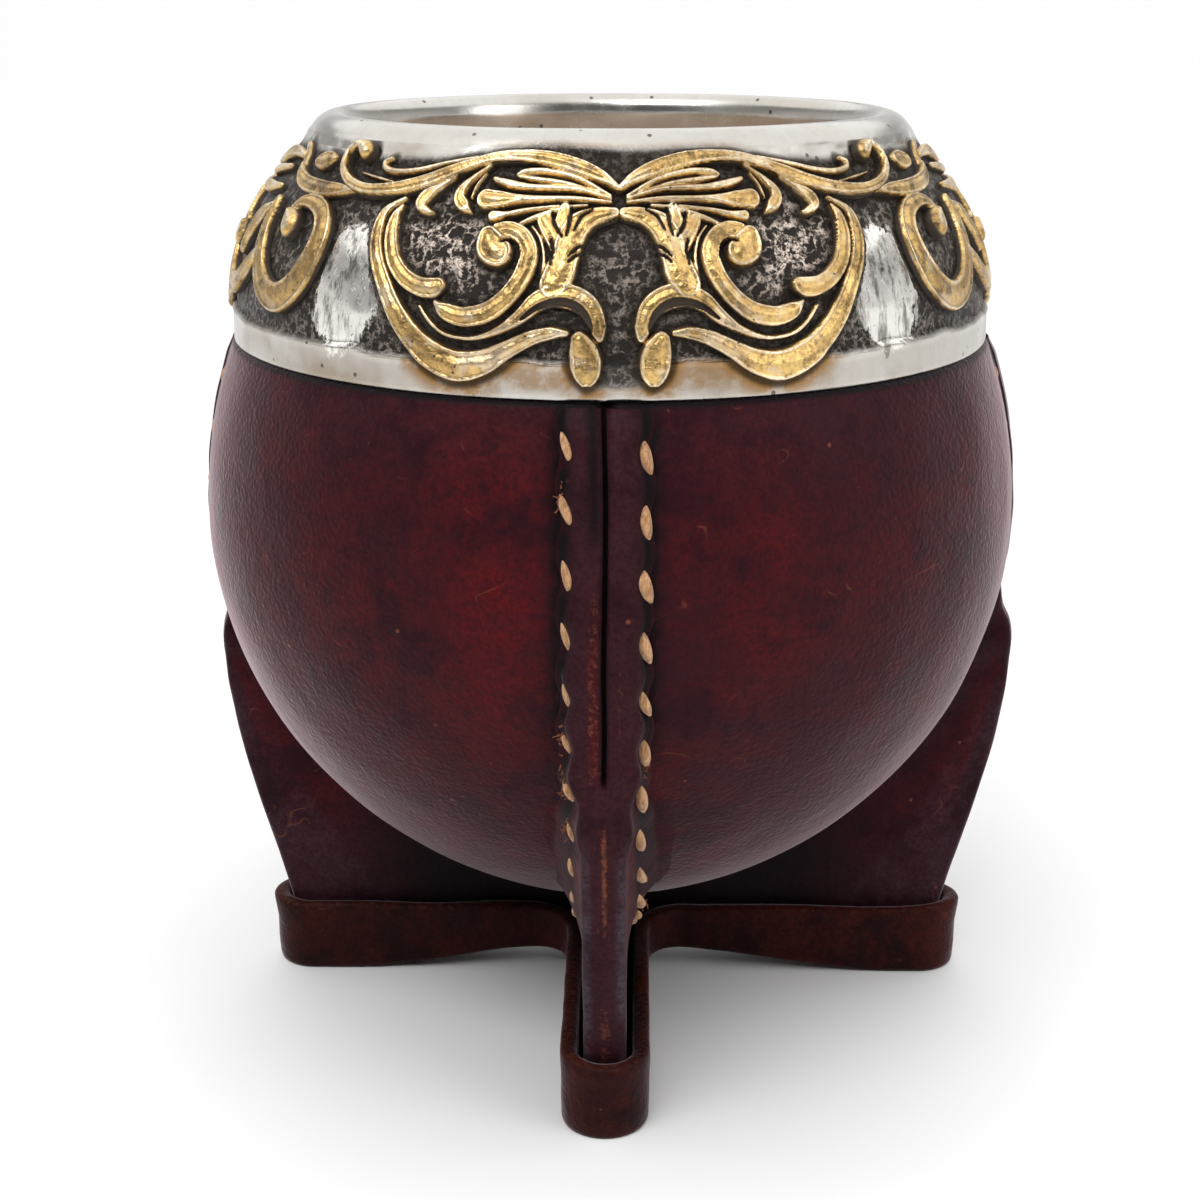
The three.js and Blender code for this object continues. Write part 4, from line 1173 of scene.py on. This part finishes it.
def make_frays(legs):
    """Tufts of orange leather fibre that the awl pulled out of some holes."""
    source = np.random.default_rng(81)
    share = np.linspace(0, 1, 7)
    spin = circle(5)
    faces = grid_faces(len(share), len(spin), closed=True)
    ring = np.stack([np.cos(spin), 0 * spin, np.sin(spin)], -1)
    thick = 0.13 * (1 - 0.6 * share)
    parts = []
    for quarter in range(4):
        leg = legs[quarter % 2]
        sunk = 0.1 if quarter % 2 == 0 else 0.5
        for hand, downs in ((-1, (9, 34.5, 40.5, 46.5)), (1, (37.5, 62))):
            for down in np.repeat(downs, 20):
                start = leg.seam(down + source.normal(0, 0.9), hand, source.normal(0.35, 0.25), -sunk)
                way = [hand * source.uniform(-0.3, 0.6), -source.uniform(0.1, 0.5), source.normal(0, 0.4)]
                curl = [source.normal(0, 0.5), source.uniform(0, 0.6), source.normal(0, 0.5)]
                middle = start + 0.35 * np.outer(share, way) + 0.45 * np.outer(share**2, curl)
                points = middle[:, None] + thick[:, None, None] * ring
                parts.append((turned(points, QUARTER_TURN * quarter), faces, {}))
    points, faces, _ = joined(parts)
    look = thread_look("frayed_fibre", (0.24, 0.06, 0.014), (0.1, 0.022, 0.006), sheen=0.0)
    make_piece("frayed_fibres", hand_sewn(points), faces, [look])


def make_stage():
    """White floor, soft lights, and the camera."""
    look = Look("white_floor")
    speckle = look.noise(30.0, detail=2.0)
    colour = look.mix(speckle, (0.86, 0.86, 0.86), (0.88, 0.88, 0.88))
    look.finish(colour, 0.6, look.bump(speckle, 0.01))
    mesh = bpy.data.meshes.new("floor")
    corners = [(FLOOR_REACH * x, FLOOR_REACH * y, 0) for x, y in ((-1, -1), (1, -1), (1, 1), (-1, 1))]
    mesh.from_pydata(corners, [], [(0, 1, 2, 3)])
    mesh.materials.append(look.material)
    floor = add_object("floor", mesh)

    world = bpy.data.worlds.new("studio")
    bpy.context.scene.world = world
    nodes = Nodes(world)
    way = nodes.add("ShaderNodeTexCoord", {}).outputs["Generated"]
    split = nodes.add("ShaderNodeSeparateXYZ", {0: way})
    # A dim room behind the camera, a pale backdrop behind the cup, and a white horizon all round.
    sky = nodes.fade(split.outputs["Y"], -0.95, -0.35, 0.05, 0.36)
    low_down = nodes.fade(split.outputs["Z"], 0.1, 0.5, 0.75, 0.0)
    backdrop = nodes.times(low_down, nodes.fade(split.outputs["Y"], -0.5, 0.1))
    horizon = nodes.fade(split.outputs["Z"], 0.1, 0.14, 1.0, 0.0)
    strength = nodes.math("MAXIMUM", nodes.math("MAXIMUM", sky, backdrop), horizon)
    background = nodes.tree.nodes["Background"]
    nodes.feed(background.inputs["Strength"], strength)
    nodes.feed(background.inputs["Color"], (1.0, 1.0, 1.0, 1.0))

    def softbox(name, place, aim, width, height, power):
        light = bpy.data.lights.new(name, "AREA")
        light.shape = "RECTANGLE"
        light.size = width
        light.size_y = height
        light.energy = power
        lamp = add_object(name, light)
        lamp.location = place
        lamp.rotation_euler = (Vector(aim) - Vector(place)).to_track_quat("-Z", "Y").to_euler()

    softbox("key", (-0.2, -0.38, 0.55), (0, 0, 0.07), width=0.45, height=0.3, power=1.8)
    softbox("fill", (0.45, -0.3, 0.3), (0, 0, 0.08), width=0.3, height=0.3, power=0.7)
    ceiling = bpy.data.lights.new("ceiling", "SUN")
    ceiling.energy = 2.5
    ceiling.angle = math.radians(120)
    overhead = add_object("ceiling", ceiling)
    overhead.rotation_euler = (math.radians(-12), 0, 0)

    camera = bpy.data.cameras.new("camera")
    camera.lens = CAMERA_LENS
    camera.sensor_width = SENSOR_WIDTH
    view = add_object("camera", camera)
    view.location = CAMERA_PLACE
    view.rotation_euler = (CAMERA_TILT, 0, CAMERA_TURN)
    bpy.context.scene.camera = view
    bpy.context.scene.view_settings.view_transform = "Standard"


make_stage()
make_gourd()
make_ferrule()
make_ornament()
# Front and back pleats stand out more and flare widely into the belly, the side ones are drawn tight.
legs = (
    Leg(FRONT_RIDGE, FIN_TOP, flare_reach=3.2, fillet_reach=12),
    Leg(SIDE_RIDGE, SIDE_FIN_TOP, flare_reach=1.4, fillet_reach=2.5),
)
make_cover(legs)
make_stitches(legs)
make_frays(legs)
make_tray()
